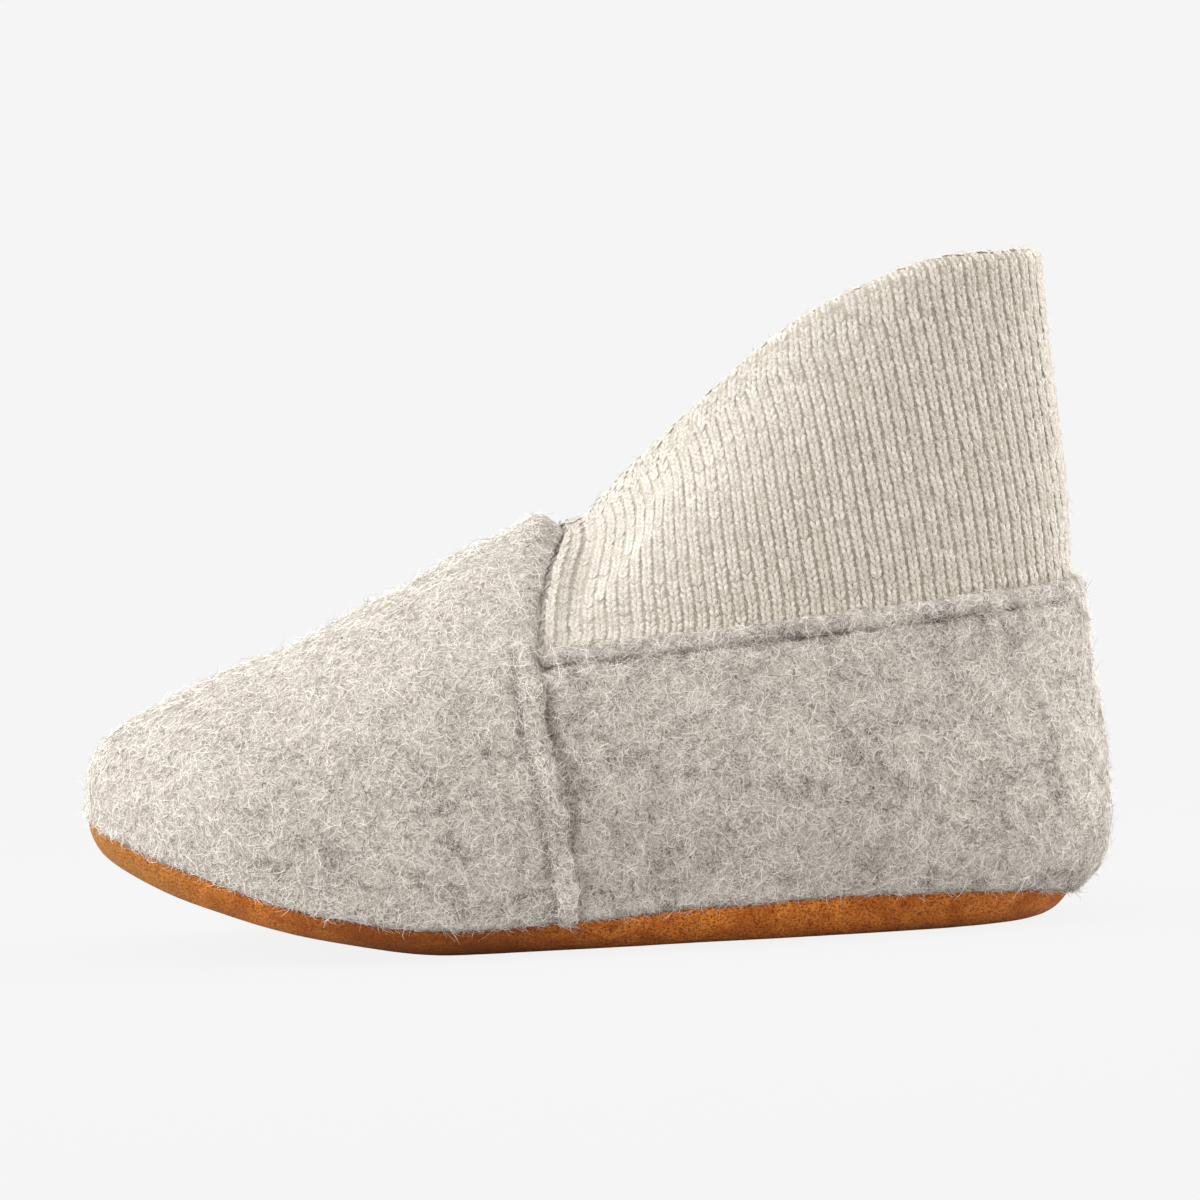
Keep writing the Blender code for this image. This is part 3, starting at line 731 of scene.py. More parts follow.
def creases(panel, places):
    """Depth of the soft creases at points of a panel; each lies along a line seen from its side."""
    depth = np.zeros(places.shape[:-1])
    for row in CREASE_ROWS:
        crease = dict(zip(CREASE_COLUMNS, row))
        if crease["panel"] != panel:
            continue
        start = np.array((crease["x0"], crease["z0"]))
        run = np.array((crease["x1"], crease["z1"])) - start
        flat = places[..., (0, 2)] - start
        share = np.clip((flat * run).sum(axis=-1) / (run * run).sum(), 0.0, 1.0)
        gap = np.linalg.norm(flat - share[..., None] * run, axis=-1)
        there = ramp(places[..., 1] * crease["side"], 0.0, CREASE_FADE)
        depth += crease["depth"] * there * bell(gap, crease["half_width"])
    return depth


print(len(CREASE_ROWS), "creases")

# %% [markdown]
# ## Vamp
# The vamp covers the toes. Its rear edge is turned and stitched, so it stands up as a ridge with a groove
# before it, and falls steeply to the quarter behind it. Over the instep the same edge is a soft fold that
# lies on the knit. Height over the last, by the distance from the edge, gives all of that in one formula.

# %% Relief of the vamp
DEGREE_RUN = 1.04
LAP_STEP = 0.4
LAP_START = 70.0
PLAIN_LEAD = 0.06
PLAIN_RUN = 0.16
PLAIN_SHARE = 0.9
RIDGE_WIDTH = 2.7
RIDGE_HEIGHT = 0.75
RIDGE_LEAST = 0.1
RIDGE_LUMPS = ((3.2, 0.8), (1.4, 0.4))
RIDGE_WAVES = ((4.0, 0.9),)
RIDGE_GROOVE = 0.45
GROOVE_GAP = 0.4
GROOVE_WIDTH = 0.7
FOOT_PUFF = 0.5
FOOT_SHARE = 0.05
EDGE_FALL = 0.9
FALL_RUN = 3.0
CROWN_PEAK = 1.4
CROWN_AT = 3.2
CROWN_WIDTH = 2.4
CROWN_DROP = 0.6
DROP_RUN = 2.6
CROWN_START = 0.78
CROWN_RUN = 0.2


def half_round(distance, width):
    """Height of a half round that starts at no distance and is as wide as given."""
    return np.sqrt(np.clip(1.0 - (2.0 * distance / width - 1.0) ** 2, 0.0, 1.0))


def vamp_relief(angle, t, place):
    """The vamp's height over the last by its distance from the rear edge: lap, lumpy ridge and groove.

    Above the hem's corner the ridge fades into a plain edge, which dips towards the knit at the crown."""
    wave = lumps(place, RIDGE_WAVES, SEEDS["ridge wave"])
    back = (90.0 - np.abs(angle)) * DEGREE_RUN
    above = ramp(t, CORNER_SHARE - PLAIN_LEAD, PLAIN_RUN)
    lap = LAP_STEP * ramp(np.abs(angle), LAP_START, 90.0 - LAP_START) * (1.0 - above)
    fall = EDGE_FALL * (1.0 - ramp(back, 0.0, FALL_RUN)) * above
    ridge_height = np.maximum(RIDGE_HEIGHT + lumps(place, RIDGE_LUMPS, SEEDS["ridge"]), RIDGE_LEAST)
    ridge = half_round(back, RIDGE_WIDTH + wave) * ridge_height
    groove = (RIDGE_GROOVE + wave) * bell(back - RIDGE_WIDTH - GROOVE_GAP - wave, GROOVE_WIDTH)
    crown = CROWN_PEAK * bell(back - CROWN_AT, CROWN_WIDTH) - CROWN_DROP * (1.0 - ramp(back, 0.0, DROP_RUN))
    lap = lap + FOOT_PUFF * bell(t, FOOT_SHARE)
    seam = (ridge - groove) * (1.0 - PLAIN_SHARE * above)
    return lap - fall + seam + crown * ramp(t, CROWN_START, CROWN_RUN)


ridge_spot = (np.array([-88.5]), np.array([0.3]))
print("ridge over the last", np.round(vamp_relief(*ridge_spot, vamp_face(*ridge_spot)), 2), "mm")

# %% Vamp
EDGE_REACH = 1.0
EDGE_STEPS = 5
EDGE_WAVES = ((5.0, 0.9), (2.2, 0.6))
WAVE_START = 80.0
WAVE_FADE = 0.1
HALF_SECTION_STEPS = 56
FRONT_TURNS = np.linspace(1.2, 84.0, 90)
REAR_TURNS = np.linspace(84.4, 90.0 - EDGE_REACH / DEGREE_RUN, 16)
RIDGE_HAIR = 0.6
EDGE_HAIR = 1.2
VAMP_PRESS_AND_SHADE = 0.5
# Painted light: the felt's mottle is calmed, so the felt is lighter, on the crown, at the toe and beside the
# throat.
CALM_SHARE = 0.75
CALM_CROWN = (0.30, 0.4)
CALM_TOE = 30.0
CALM_TOE_RUN = 18.0
CALM_THROAT = (0.40, 0.2)
CALM_THROAT_WIDTH = 12.0


def vamp_calm_painted_light(t, place, back):
    """Painted light: the vamp's mottle calmed, so lighter, on its crown, at the toe and beside the throat."""
    crown = ramp(t, *CALM_CROWN)
    toe = ramp(CALM_TOE - place[..., 0], 0.0, CALM_TOE_RUN)
    throat = bell(back, CALM_THROAT_WIDTH) * ramp(t, *CALM_THROAT)
    return np.maximum(CALM_SHARE * np.maximum(crown, toe), throat)


def make_vamp():
    rise = np.linspace(0.0, 1.0, HALF_SECTION_STEPS + 1)
    t = np.concatenate([rise, rise[:-1][::-1]])
    side = np.where(np.arange(len(t)) <= HALF_SECTION_STEPS, -1.0, 1.0)
    turns = np.concatenate([FRONT_TURNS, REAR_TURNS])[:, None]
    wave = lumps(vamp_face(90.0 * side, t), EDGE_WAVES, SEEDS["vamp edge"])
    wave = wave * (1.0 - ramp(t, CORNER_SHARE - WAVE_FADE, WAVE_FADE))
    angle = (turns + wave * ramp(turns, WAVE_START, 90.0 - WAVE_START)) * side
    t = np.broadcast_to(t, angle.shape)
    place = vamp_face(angle, t)
    normal = felt_normal(vamp_face, angle, t)
    relief = vamp_relief(angle, t, place) + lumps(place, LUMPS, SEEDS["vamp"]) - HAIR_ROOM
    outer = place + normal * (relief - creases("vamp", place))[..., None]
    inner = place - normal * UPPER_WALL
    rearward = vamp_face(angle[-1], t[-1]) - vamp_face(angle[-1] - side, t[-1])
    edge = rounded_edge(outer[-1], inner[-1], unit(rearward) * EDGE_REACH, EDGE_STEPS)
    toe = vamp_face(0.0, 0.0)
    tips = np.array([toe, toe - outward(0.0) * UPPER_WALL])
    back = (90.0 - np.abs(angle)) * DEGREE_RUN
    shaggy = 1.0 + RIDGE_HAIR * bell(back, RIDGE_WIDTH) + bell(t, FOOT_SHARE)
    # The groove before the ridge is darkened: pressed felt and painted shade in the groove.
    values = {
        "fuzz": np.concatenate([shaggy, np.full((EDGE_STEPS, len(side)), EDGE_HAIR)]),
        "press": VAMP_PRESS_AND_SHADE * bell(back - RIDGE_WIDTH - GROOVE_GAP, GROOVE_WIDTH) * (t < CORNER_SHARE),
        "calm": vamp_calm_painted_light(t, place, back)}
    return felt_wall("felt_vamp", outer, edge, inner, values, tips)


vamp = make_vamp()
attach(vamp, "root")
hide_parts("upper", "vamp_band")
print("felt_vamp:", len(vamp.data.polygons), "faces")

# %% [markdown]
# ## Quarter
# The quarter wraps the heel. Its top is turned over and sewn down, which leaves a small roll above a stitched
# groove. Its front ends disappear under the vamp's edge, where the felt is pressed down. A seam sewn by hand
# is never even, so a noise along it says how far the stitches draw the felt in.

# %% Seams of the quarter
SIDE_RUN = 36.0
BROKEN_SWING = 1.1
HEM_HEIGHT = 2.3
HEM_STITCH_RUN = 3.2
SEAM_STITCH_RUN = 4.5
SEAM_LEAST = 0.3
SEAM_MIDDLE = 25.0
SEAM_SPAN = 9.0


def broken(places, run, seed):
    """A share from 0 to 1 that comes and goes along a seam, so that the seam is drawn in unevenly."""
    return np.clip(0.5 + lumps(places, ((run, BROKEN_SWING),), seed), 0.0, 1.0)


def at_least(least, share):
    return least + (1.0 - least) * share


def hem_gap(places):
    """How far the stitches under the hem draw the felt in."""
    return broken(places, HEM_STITCH_RUN, SEEDS["hem stitches"])


def seam_gap(places):
    """How far the side seam stands open: unevenly, and most at half its height."""
    most = at_least(SEAM_LEAST, bell(places[..., 2] - SEAM_MIDDLE, SEAM_SPAN))
    return broken(places, SEAM_STITCH_RUN, SEEDS["side seam"]) * most


def hem_drop(angle, v):
    """Distance below the topline along the felt."""
    top = quarter_face(angle, np.ones(np.shape(angle)))
    tenth = top - quarter_face(angle, np.full(np.shape(angle), 0.9))
    return (1.0 - v) * 10.0 * np.linalg.norm(tenth, axis=-1)


def past_seam(angle):
    """Distance behind the side seam, as it is close to the seam."""
    return (np.abs(wrap(angle)) - 90.0) * DEGREE_RUN


half_topline = topline(np.linspace(90.0, 180.0, 91))
topline_length = np.linalg.norm(np.diff(half_topline, axis=0), axis=1).sum()
print("the topline runs", round(float(topline_length), 1), "mm from the side seam to the heel")

# %% Relief of the quarter
HEM_BULGE = 0.35
HEM_GROOVE = 0.9
HEM_GROOVE_GAP = 0.2
HEM_GROOVE_WIDTH = 0.32
HEM_STITCH = 2.6
PUCKER = 0.2
PUCKER_LEAST = 0.35
HEM_PUFF = 0.25
HEM_PUFF_GAP = 2.2
HEM_PUFF_WIDTH = 1.5
HEM_RISE = 0.9
HEM_BELLY = 0.5
RISE_START = 0.4
SEAM_DIP = 0.9
SEAM_WIDTH = 1.1
TUCK_DIP = 1.4
NOTCH = 1.0
NOTCH_AT = 0.5
NOTCH_LENGTH = 1.0
NOTCH_HEIGHT = 0.9
QUARTER_FOOT = 0.06


def quarter_relief(angle, v, place):
    """The quarter's height over the last: rolled hem, puckered groove under it, and dip to the side seam."""
    drop = hem_drop(angle, v)
    behind = past_seam(angle)
    below = drop - HEM_HEIGHT
    hem = HEM_BULGE * half_round(drop, HEM_HEIGHT)
    pucker = 1.0 - PUCKER + PUCKER * np.cos(2.0 * math.pi * behind / HEM_STITCH)
    pucker = pucker * at_least(PUCKER_LEAST, hem_gap(place))
    groove = HEM_GROOVE * pucker * bell(below - HEM_GROOVE_GAP, HEM_GROOVE_WIDTH)
    puff = HEM_PUFF * bell(below - HEM_PUFF_GAP, HEM_PUFF_WIDTH)
    sunk = SEAM_DIP * at_least(SEAM_LEAST, seam_gap(place))
    dip = np.where(behind < 0.0, TUCK_DIP, 0.0) + sunk * bell(np.maximum(behind, 0.0), SEAM_WIDTH)
    notch = NOTCH * bell(behind - NOTCH_AT, NOTCH_LENGTH) * bell(below - HEM_GROOVE_GAP, NOTCH_HEIGHT)
    return hem - groove + puff - dip - notch + FOOT_PUFF * bell(v, QUARTER_FOOT)


def hem_rise(angle, v):
    """How far the knit draws the hem up, most half way to the heel."""
    behind = np.radians(2.0 * np.clip(np.abs(wrap(angle)) - 90.0, 0.0, 90.0))
    return ((HEM_RISE + HEM_BELLY * np.sin(behind)) * ramp(v, RISE_START, 1.0 - RISE_START))[..., None] * UP


hem_spot = (np.array([-135.0]), np.array([0.97]))
print("hem over the last", np.round(quarter_relief(*hem_spot, quarter_face(*hem_spot)), 2), "mm")

# %% Quarter
HEM_LUMPS = ((2.8, 0.45), (1.2, 0.25))
HEM_FADE = 0.6
TUCKED_TURNS = (88.6, 89.6)
SEAM_TURNS = np.linspace(90.05, 94.0, 12)
HEEL_TURNS = np.linspace(94.8, 180.0, 112)
SIDE_DROPS = np.linspace(SIDE_RUN, 5.0, 36)
HEM_DROPS = np.linspace(4.7, EDGE_REACH, 18)
# Darkening of the hem's groove and of the open side seam: pressed felt and painted shade.
QUARTER_PRESS_AND_SHADE = 0.8
PRESS_AND_SHADE_GROOVE_WIDTH = 0.35
PRESS_AND_SHADE_SEAM_AT = 0.4
PRESS_AND_SHADE_SEAM_WIDTH = 1.0
GROOVE_HAIR = 0.4


def quarter_outside(angle, v):
    """The quarter's outer face, its hem drawn up a little by the knit."""
    place = quarter_face(angle, v)
    hemmed = bell(np.maximum(hem_drop(angle, v) - HEM_HEIGHT, 0.0), HEM_FADE)
    relief = quarter_relief(angle, v, place) + lumps(place, LUMPS, SEEDS["quarter"])
    relief = relief + hemmed * lumps(place, HEM_LUMPS, SEEDS["hem"]) - HAIR_ROOM - creases("quarter", place)
    return place + felt_normal(quarter_face, angle, v) * relief[..., None] + hem_rise(angle, v)


def make_quarter():
    half_turn = np.concatenate([TUCKED_TURNS, SEAM_TURNS, HEEL_TURNS])
    angles = np.concatenate([half_turn, -half_turn[:-1][::-1]])
    angle, drop = np.meshgrid(angles, np.concatenate([SIDE_DROPS, HEM_DROPS]))
    v = 1.0 - drop / SIDE_RUN
    face = quarter_face(angle, v)
    outer = quarter_outside(angle, v)
    inner = face - felt_normal(quarter_face, angle, v) * UPPER_WALL + hem_rise(angle, v)
    upward = quarter_face(angle[-1], np.ones(len(angles))) - quarter_face(angle[-1], v[-1])
    edge = rounded_edge(outer[-1], inner[-1], upward, EDGE_STEPS)
    in_groove = bell(hem_drop(angle, v) - HEM_HEIGHT - HEM_GROOVE_GAP, PRESS_AND_SHADE_GROOVE_WIDTH)
    in_seam = bell(past_seam(angle) - PRESS_AND_SHADE_SEAM_AT, PRESS_AND_SHADE_SEAM_WIDTH)
    shaggy = 1.0 - GROOVE_HAIR * in_groove + bell(v, FOOT_SHARE)
    # The hem's groove and the open side seam are darkened: pressed felt and painted shade in the groove and
    # gap.
    values = {
        "fuzz": np.concatenate([shaggy, np.ones((EDGE_STEPS, len(angles)))]),
        "press": QUARTER_PRESS_AND_SHADE * np.maximum(in_groove * hem_gap(face), in_seam * seam_gap(face))}
    return felt_wall("felt_quarter", outer, edge, inner, values)


quarter = make_quarter()
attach(quarter, "root")
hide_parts("upper")
print("felt_quarter:", len(quarter.data.polygons), "faces")

# %% [markdown]
# ## Wool hairs
# What tells felt from plaster is its hairs. They could be a particle system, but the export keeps only
# meshes, so each hair is a narrow curled strip. Two small kits of strips are rolled by chance, short curls
# and longer hairs. Most strips lie down, and the last few of each kit stand off.

# %% Hair shapes
CURL_SHARES = (0.0, 0.33, 0.67, 1.0)
HAIR_SHARES = (0.0, 0.24, 0.5, 0.77, 1.0)
KIT_SIZE = 16
HAIR_SINK = 0.04
MIDDLE_RISE = (0.05, 0.25)
LYING_LIFT = (-0.1, 0.1)
STRIP_ROLL = (-0.7, 0.7)


def strip_hair(name, length, width, shares, bend, rise, end_rise, roll):
    """A strip that tapers to both ends, curled by an angle, its middle and end lifted; millimetres."""
    spine = [np.zeros(3)]
    for a, b in zip(shares, shares[1:]):
        heading = bend * ((a + b) / 2.0 - 0.5)
        spine.append(spine[-1] + (b - a) * length * np.array((math.cos(heading), math.sin(heading), 0.0)))
    spine = np.array(spine)
    spine -= spine.mean(axis=0)
    for place, share in zip(spine, shares):
        place[2] = rise * math.sin(math.pi * share) + end_rise * share ** 2 - HAIR_SINK
    points = [spine[0]]
    faces = [(0, 1, 2)]
    for k in range(1, len(spine) - 1):
        ahead = unit(spine[k + 1] - spine[k - 1])
        across = np.array((-ahead[1], ahead[0], 0.0)) * math.cos(roll) + UP * math.sin(roll)
        points += [spine[k] - across * width / 2.0, spine[k] + across * width / 2.0]
        a = 2 * k - 1
        faces.append((a, a + 2, a + 3, a + 1))
    faces[-1] = faces[-1][:2] + faces[-1][3:]
    points.append(spine[-1])
    mesh = bpy.data.meshes.new(name)
    mesh.from_pydata((np.array(points) * MM).tolist(), [], faces)
    mesh.shade_smooth()
    return bpy.data.objects.new(name, mesh)


def make_hair_kit(name, standing, length, width, shares, bends, lifts):
    """A collection of hairs to scatter, kept out of the scene; the last ones stand off the felt."""
    kit = bpy.data.collections.new(name)
    draw = np.random.default_rng(SEEDS[name])
    for k in range(KIT_SIZE):
        bend = draw.uniform(*bends) * draw.choice((-1.0, 1.0))
        rise = draw.uniform(*MIDDLE_RISE)
        end_rise = draw.uniform(*(lifts if k >= KIT_SIZE - standing else LYING_LIFT))
        roll = draw.uniform(*STRIP_ROLL)
        kit.objects.link(strip_hair(f"{name} {k:02d}", length, width, shares, bend, rise, end_rise, roll))
    return kit


def clear_kit(kit):
    for shape in list(kit.objects):
        bpy.data.objects.remove(shape)
    bpy.data.collections.remove(kit)


curl_kit = make_hair_kit(
    "curl", standing=3, length=2.0, width=0.046, shares=CURL_SHARES, bends=(0.8, 3.0), lifts=(0.3, 0.7))
hair_kit = make_hair_kit(
    "hair", standing=4, length=3.6, width=0.036, shares=HAIR_SHARES, bends=(0.8, 3.4), lifts=(0.5, 1.3))

# %% [markdown]
# ## Scattering
# On boiled wool the hairs lie every way, thickest along the seams.

# %% Scatter tree
HAIR_TILT = (0.25, 0.2)
HAIR_SCALE = (0.5, 1.35)
GEOMETRY = {"Geometry": "NodeSocketGeometry"}


def random_value(tree, low, high, seed, kind="FLOAT"):
    """Socket of a random value for each element."""
    first = {"FLOAT_VECTOR": 0, "FLOAT": 2, "INT": 4}[kind]
    node = add_node(tree, "FunctionNodeRandomValue", {
        first: low, first + 1: high, "Seed": seed}, data_type=kind)
    return node.outputs[first // 2]


def end_tree(tree, given, result, instances, seed):
    """The end of a tree: a tone for each instance, one plain mesh of them all, and its material."""
    toned = add_node(tree, "GeometryNodeStoreNamedAttribute", {
        "Geometry": instances.outputs[0], "Name": "tone", "Value": random_value(tree, 0.0, 1.0, seed)},
        data_type="FLOAT", domain="INSTANCE")
    plain = add_node(tree, "GeometryNodeRealizeInstances", {"Geometry": toned.outputs[0]})
    dressed = add_node(tree, "GeometryNodeSetMaterial", {
        "Geometry": plain.outputs[0], "Material": given.outputs["Material"]})
    tree.links.new(dressed.outputs[0], result.inputs["Geometry"])


def make_scatter_tree():
    """Geometry Nodes: hairs scattered over a felt wall, as thick as its fuzz value says."""
    tree, given, result = new_group("scatter_hairs", "GeometryNodeTree", {
        **GEOMETRY, "Hairs": "NodeSocketCollection", "Density": VALUE, "Seed": "NodeSocketInt",
        "Material": "NodeSocketMaterial"}, GEOMETRY)
    fuzz = add_node(tree, "GeometryNodeInputNamedAttribute", {"Name": "fuzz"}, data_type="FLOAT")
    points = add_node(tree, "GeometryNodeDistributePointsOnFaces", {
        "Mesh": given.outputs["Geometry"], "Seed": given.outputs["Seed"],
        "Density": times(tree, fuzz.outputs[0], given.outputs["Density"])})
    kit = add_node(tree, "GeometryNodeCollectionInfo", {
        "Collection": given.outputs["Hairs"], "Separate Children": True, "Reset Children": True})
    low = (-HAIR_TILT[0], -HAIR_TILT[1], 0.0)
    high = (*HAIR_TILT, 2.0 * math.pi)
    turn = add_node(tree, "FunctionNodeEulerToRotation", {
        "Euler": random_value(tree, low, high, SEEDS["tilt"], "FLOAT_VECTOR")})
    rotation = add_node(tree, "FunctionNodeRotateRotation", {
        "Rotation": points.outputs["Rotation"], "Rotate By": turn.outputs[0]}, rotation_space="LOCAL")
    hairs = add_node(tree, "GeometryNodeInstanceOnPoints", {
        "Points": points.outputs["Points"], "Instance": kit.outputs[0], "Pick Instance": True,
        "Instance Index": random_value(tree, 0, KIT_SIZE - 1, SEEDS["pick"], "INT"),
        "Rotation": rotation.outputs[0], "Scale": random_value(tree, *HAIR_SCALE, SEEDS["scale"])})
    end_tree(tree, given, result, hairs, SEEDS["tone"])
    return tree


def grow(carrier, tree, name, values):
    """Runs a tree on a copy of a carrier object and returns the result as a plain mesh object."""
    helper = bpy.data.objects.new("grow helper", carrier.data)
    bpy.context.scene.collection.objects.link(helper)
    modifier = helper.modifiers.new("grow", "NODES")
    modifier.node_group = tree
    for item in tree.interface.items_tree:
        if item.in_out == "INPUT" and item.name in values:
            modifier[item.identifier] = values[item.name]
    depsgraph = bpy.context.evaluated_depsgraph_get()
    mesh = bpy.data.meshes.new_from_object(helper.evaluated_get(depsgraph), depsgraph=depsgraph)
    helper.modifiers.remove(modifier)
    bpy.data.objects.remove(helper)
    mesh.name = name
    piece = bpy.data.objects.new(name, mesh)
    bpy.context.scene.collection.objects.link(piece)
    return piece


def triangles(piece):
    return sum(len(face.vertices) - 2 for face in piece.data.polygons)


scatter_tree = make_scatter_tree()
print("scatter tree of", len(scatter_tree.nodes), "nodes")

# %% [markdown]
# ## Hairs on the felt
# Most hairs have the colour of the felt under them, a few are dark brown and many are nearly white. So the
# hairs' material reads the same wool group as the wall, and shifts it by each hair's tone.

# %% Hairs on the felt
HAIR_LIGHT = (0.90, 0.845, 0.775, 1.0)
HAIR_DARK = (0.20, 0.15, 0.11, 1.0)
BROWN_HAIR = (0.15, 0.110, 0.082, 1.0)
WHITE_HAIR = (0.96, 0.92, 0.865, 1.0)
BROWN_TONES = (0.04, 0.28)
WHITE_TONES = (0.5, 1.0)
WHITE_SHARE = 0.85
WHITE_IN_PATCH = 0.30
HAIR_FINISH = {"Roughness": 0.8, "Specular IOR Level": 0.2}
LAYERS = (("curls", curl_kit, 6.4e6), ("hairs", hair_kit, 2.2e6))
LAYER_SEEDS = ((vamp, (14, 24)), (quarter, (17, 27)))


def make_hair_material():
    """Wool hair: the felt's own mottle, shifted for each hair by its tone."""
    material, tree, shader, place = new_material("wool hair", HAIR_FINISH)
    wool = add_wool(tree, place, HAIR_LIGHT, HAIR_DARK)
    tone = mesh_value(tree, "tone")
    colour = mix_colour(tree, spread(tree, tone, *BROWN_TONES), BROWN_HAIR, wool["Colour"])
    white = spread(tree, tone, *WHITE_TONES, 0.0, WHITE_SHARE)
    white = times(tree, white, spread(tree, wool["Patch"], 0.0, 1.0, 1.0, WHITE_IN_PATCH))
    tree.links.new(mix_colour(tree, white, colour, WHITE_HAIR), shader.inputs["Base Color"])
    return material


wool_hair = make_hair_material()
for wall, seeds in LAYER_SEEDS:
    for (layer, kit, density), seed in zip(LAYERS, seeds):
        hairs = grow(wall, scatter_tree, f"{wall.name}_{layer}", {
            "Hairs": kit, "Density": density, "Seed": seed, "Material": wool_hair})
        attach(hairs, "root")
        print(hairs.name, triangles(hairs), "triangles")

# %% [markdown]
# ## Cuff
# The cuff is one strip of rib knit, folded double at its rim. Its long edge is sewn inside the quarter's hem
# and its two ends run up under the vamp's edge, so its ribs fan from upright at the heel to nearly along the
# throat. The strip's form comes from curves between the felt and the rim, at the same places as in the solid.

# %% Cuff form
CUFF_COLUMNS = ("angle", "rim_x", "rim_gap", "slit_x", "slit_gap", "rim_z", "base_run", "base_out", "rim_out",
                "rim_down")
CUFF_ROWS = (
    (0, 61.2, 4.0, 65.2, 2.2, 51.4, 0.8, 0.0, 0.3, 0.7),
    (30, 62.6, 4.6, 66.2, 2.6, 52.8, 2.0, 0.0, 0.8, 2.0),
    (60, 67.2, 6.2, 70.0, 3.9, 57.0, 5.0, 0.2, 2.2, 5.0),
    (90, 75.8, 8.8, 77.2, 6.2, 64.3, 9.0, 1.0, 3.2, 9.0),
    (120, 91.0, 12.4, 91.0, 9.3, 75.1, 10.0, 1.8, 2.8, 11.0),
    (150, 108.6, 17.6, 107.2, 12.6, 81.0, 8.0, 2.4, 1.4, 12.0),
    (180, 119.5, 25.0, 116.7, 19.0, 81.4, 7.0, 2.6, 0.0, 12.0),
)
cuff_value = partial(read, CUFF_COLUMNS, CUFF_ROWS)
print("cuff rim at", float(cuff_value("rim_z", 0.0)[0]), "to", float(cuff_value("rim_z", 180.0)[0]), "mm")

# %% Cuff curves
CUFF_WALL = 2.6
CUFF_TUCK = 3.5
THROAT_TURN = 0.96
CORNER_PASSES = 8
RIM_ROUND = 1.3
INNER_DROP = 1.3
COLUMN_STEP = 6
ARCH_STEPS = 8


def collar_loop(drop):
    """The felt along its opening, a drop away from the edge, from the heel by the throat to the heel."""
    heel = np.arange(90 + COLUMN_STEP, 181, COLUMN_STEP, dtype=float)
    outer_heel = -heel[:-1][::-1]
    rise = np.linspace(CORNER_SHARE, 1.0, ARCH_STEPS + 1)
    t = np.concatenate([rise, rise[:-1][::-1]])
    side = np.where(np.arange(len(t)) <= ARCH_STEPS, -1.0, 1.0)
    v = np.full(len(heel), 1.0 - drop / SIDE_RUN)
    runs = ((quarter_face, outer_heel, v[1:]), (vamp_face, side * (90.0 - drop * THROAT_TURN), t),
            (quarter_face, heel, v))
    place = np.concatenate([face(angle, way) for face, angle, way in runs])
    normal = np.concatenate([felt_normal(face, angle, way) for face, angle, way in runs])
    turn = side * 90.0 * (1.0 - t) / (1.0 - CORNER_SHARE)
    return place, normal, np.concatenate([outer_heel, turn, heel])


def soften(loop):
    """Directions round a closed loop, each drawn towards its neighbours, so that a corner turns gently."""
    for _ in range(CORNER_PASSES):
        loop = (np.roll(loop, 1, axis=0) + 2.0 * loop + np.roll(loop, -1, axis=0)) / 4.0
    return loop


def cuff_curves(depth, edge_x, edge_gap):
    """One face of the knit: two tucked rings, then base, base handle, rim handle and rim of its curves."""
    rings = []
    for drop in (CUFF_TUCK, CUFF_TUCK / 2.0, 0.0):
        place, normal, angle = collar_loop(drop)
        rings.append(place - normal * (UPPER_WALL + SEAT_GAP + depth))
    base = rings[-1]
    leaving = unit(soften(unit(base - rings[1])))
    normal = unit(soften(normal))
    rim = side_of(angle) * cuff_value(edge_gap, angle) * np.abs(np.sin(np.radians(angle)))[:, None]
    rim = rim + (cuff_value("rim_z", angle) - RIM_ROUND) * UP + cuff_value(edge_x, angle) * HEELWARD
    rim = rim - INNER_DROP * np.sin(np.radians(np.clip(angle, 0.0, 180.0)))[:, None] * UP
    base_handle = base + leaving * cuff_value("base_run", angle) + normal * cuff_value("base_out", angle)
    rim_handle = rim + outward(angle) * cuff_value("rim_out", angle) - cuff_value("rim_down", angle) * UP
    return rings[0], rings[1], base, base_handle, rim_handle, rim


def between(loop, index):
    """Points of a closed loop at fractional places, on a smooth curve through its points."""
    i = np.floor(index).astype(int)
    f = (index - i)[..., None]
    p0, p1, p2, p3 = (loop[(i + k) % len(loop)] for k in (-1, 0, 1, 2))
    bend = 2 * p0 - 5 * p1 + 4 * p2 - p3 + f * (3 * (p1 - p2) + p3 - p0)
    return p1 + 0.5 * f * (p2 - p0 + f * bend)


LOOP_ANGLES = collar_loop(0.0)[2]
CUFF_OUTER = cuff_curves(0.0, "rim_x", "rim_gap")
CUFF_INNER = cuff_curves(CUFF_WALL, "slit_x", "slit_gap")


def knit_face(curves, angle, share):
    """A point of one face of the knit by angle and by its share of the way from the hem to the rim."""
    column = np.interp(angle, np.append(-180.0, LOOP_ANGLES), np.arange(-1, len(LOOP_ANGLES)))
    return bezier(*(between(loop, column) for loop in curves[2:]), np.asarray(share)[..., None])


print("cuff rim from", np.round(knit_face(CUFF_OUTER, 0.0, 1.0), 1), "to",
      np.round(knit_face(CUFF_OUTER, 180.0, 1.0), 1))

# %% [markdown]
# ## Yarn
# The cuff's yarn is cream wool with darker flecks, and no two stitches have quite the same tone. Towards the
# throat the strip is stretched, so its ribs lie open in the light; towards the heel they close up and shade
# one another. The material paints that light and shade from its place on the slipper: one tone towards the
# toe and upward, another towards the heel and lower down, which darkens the back of the knit most.

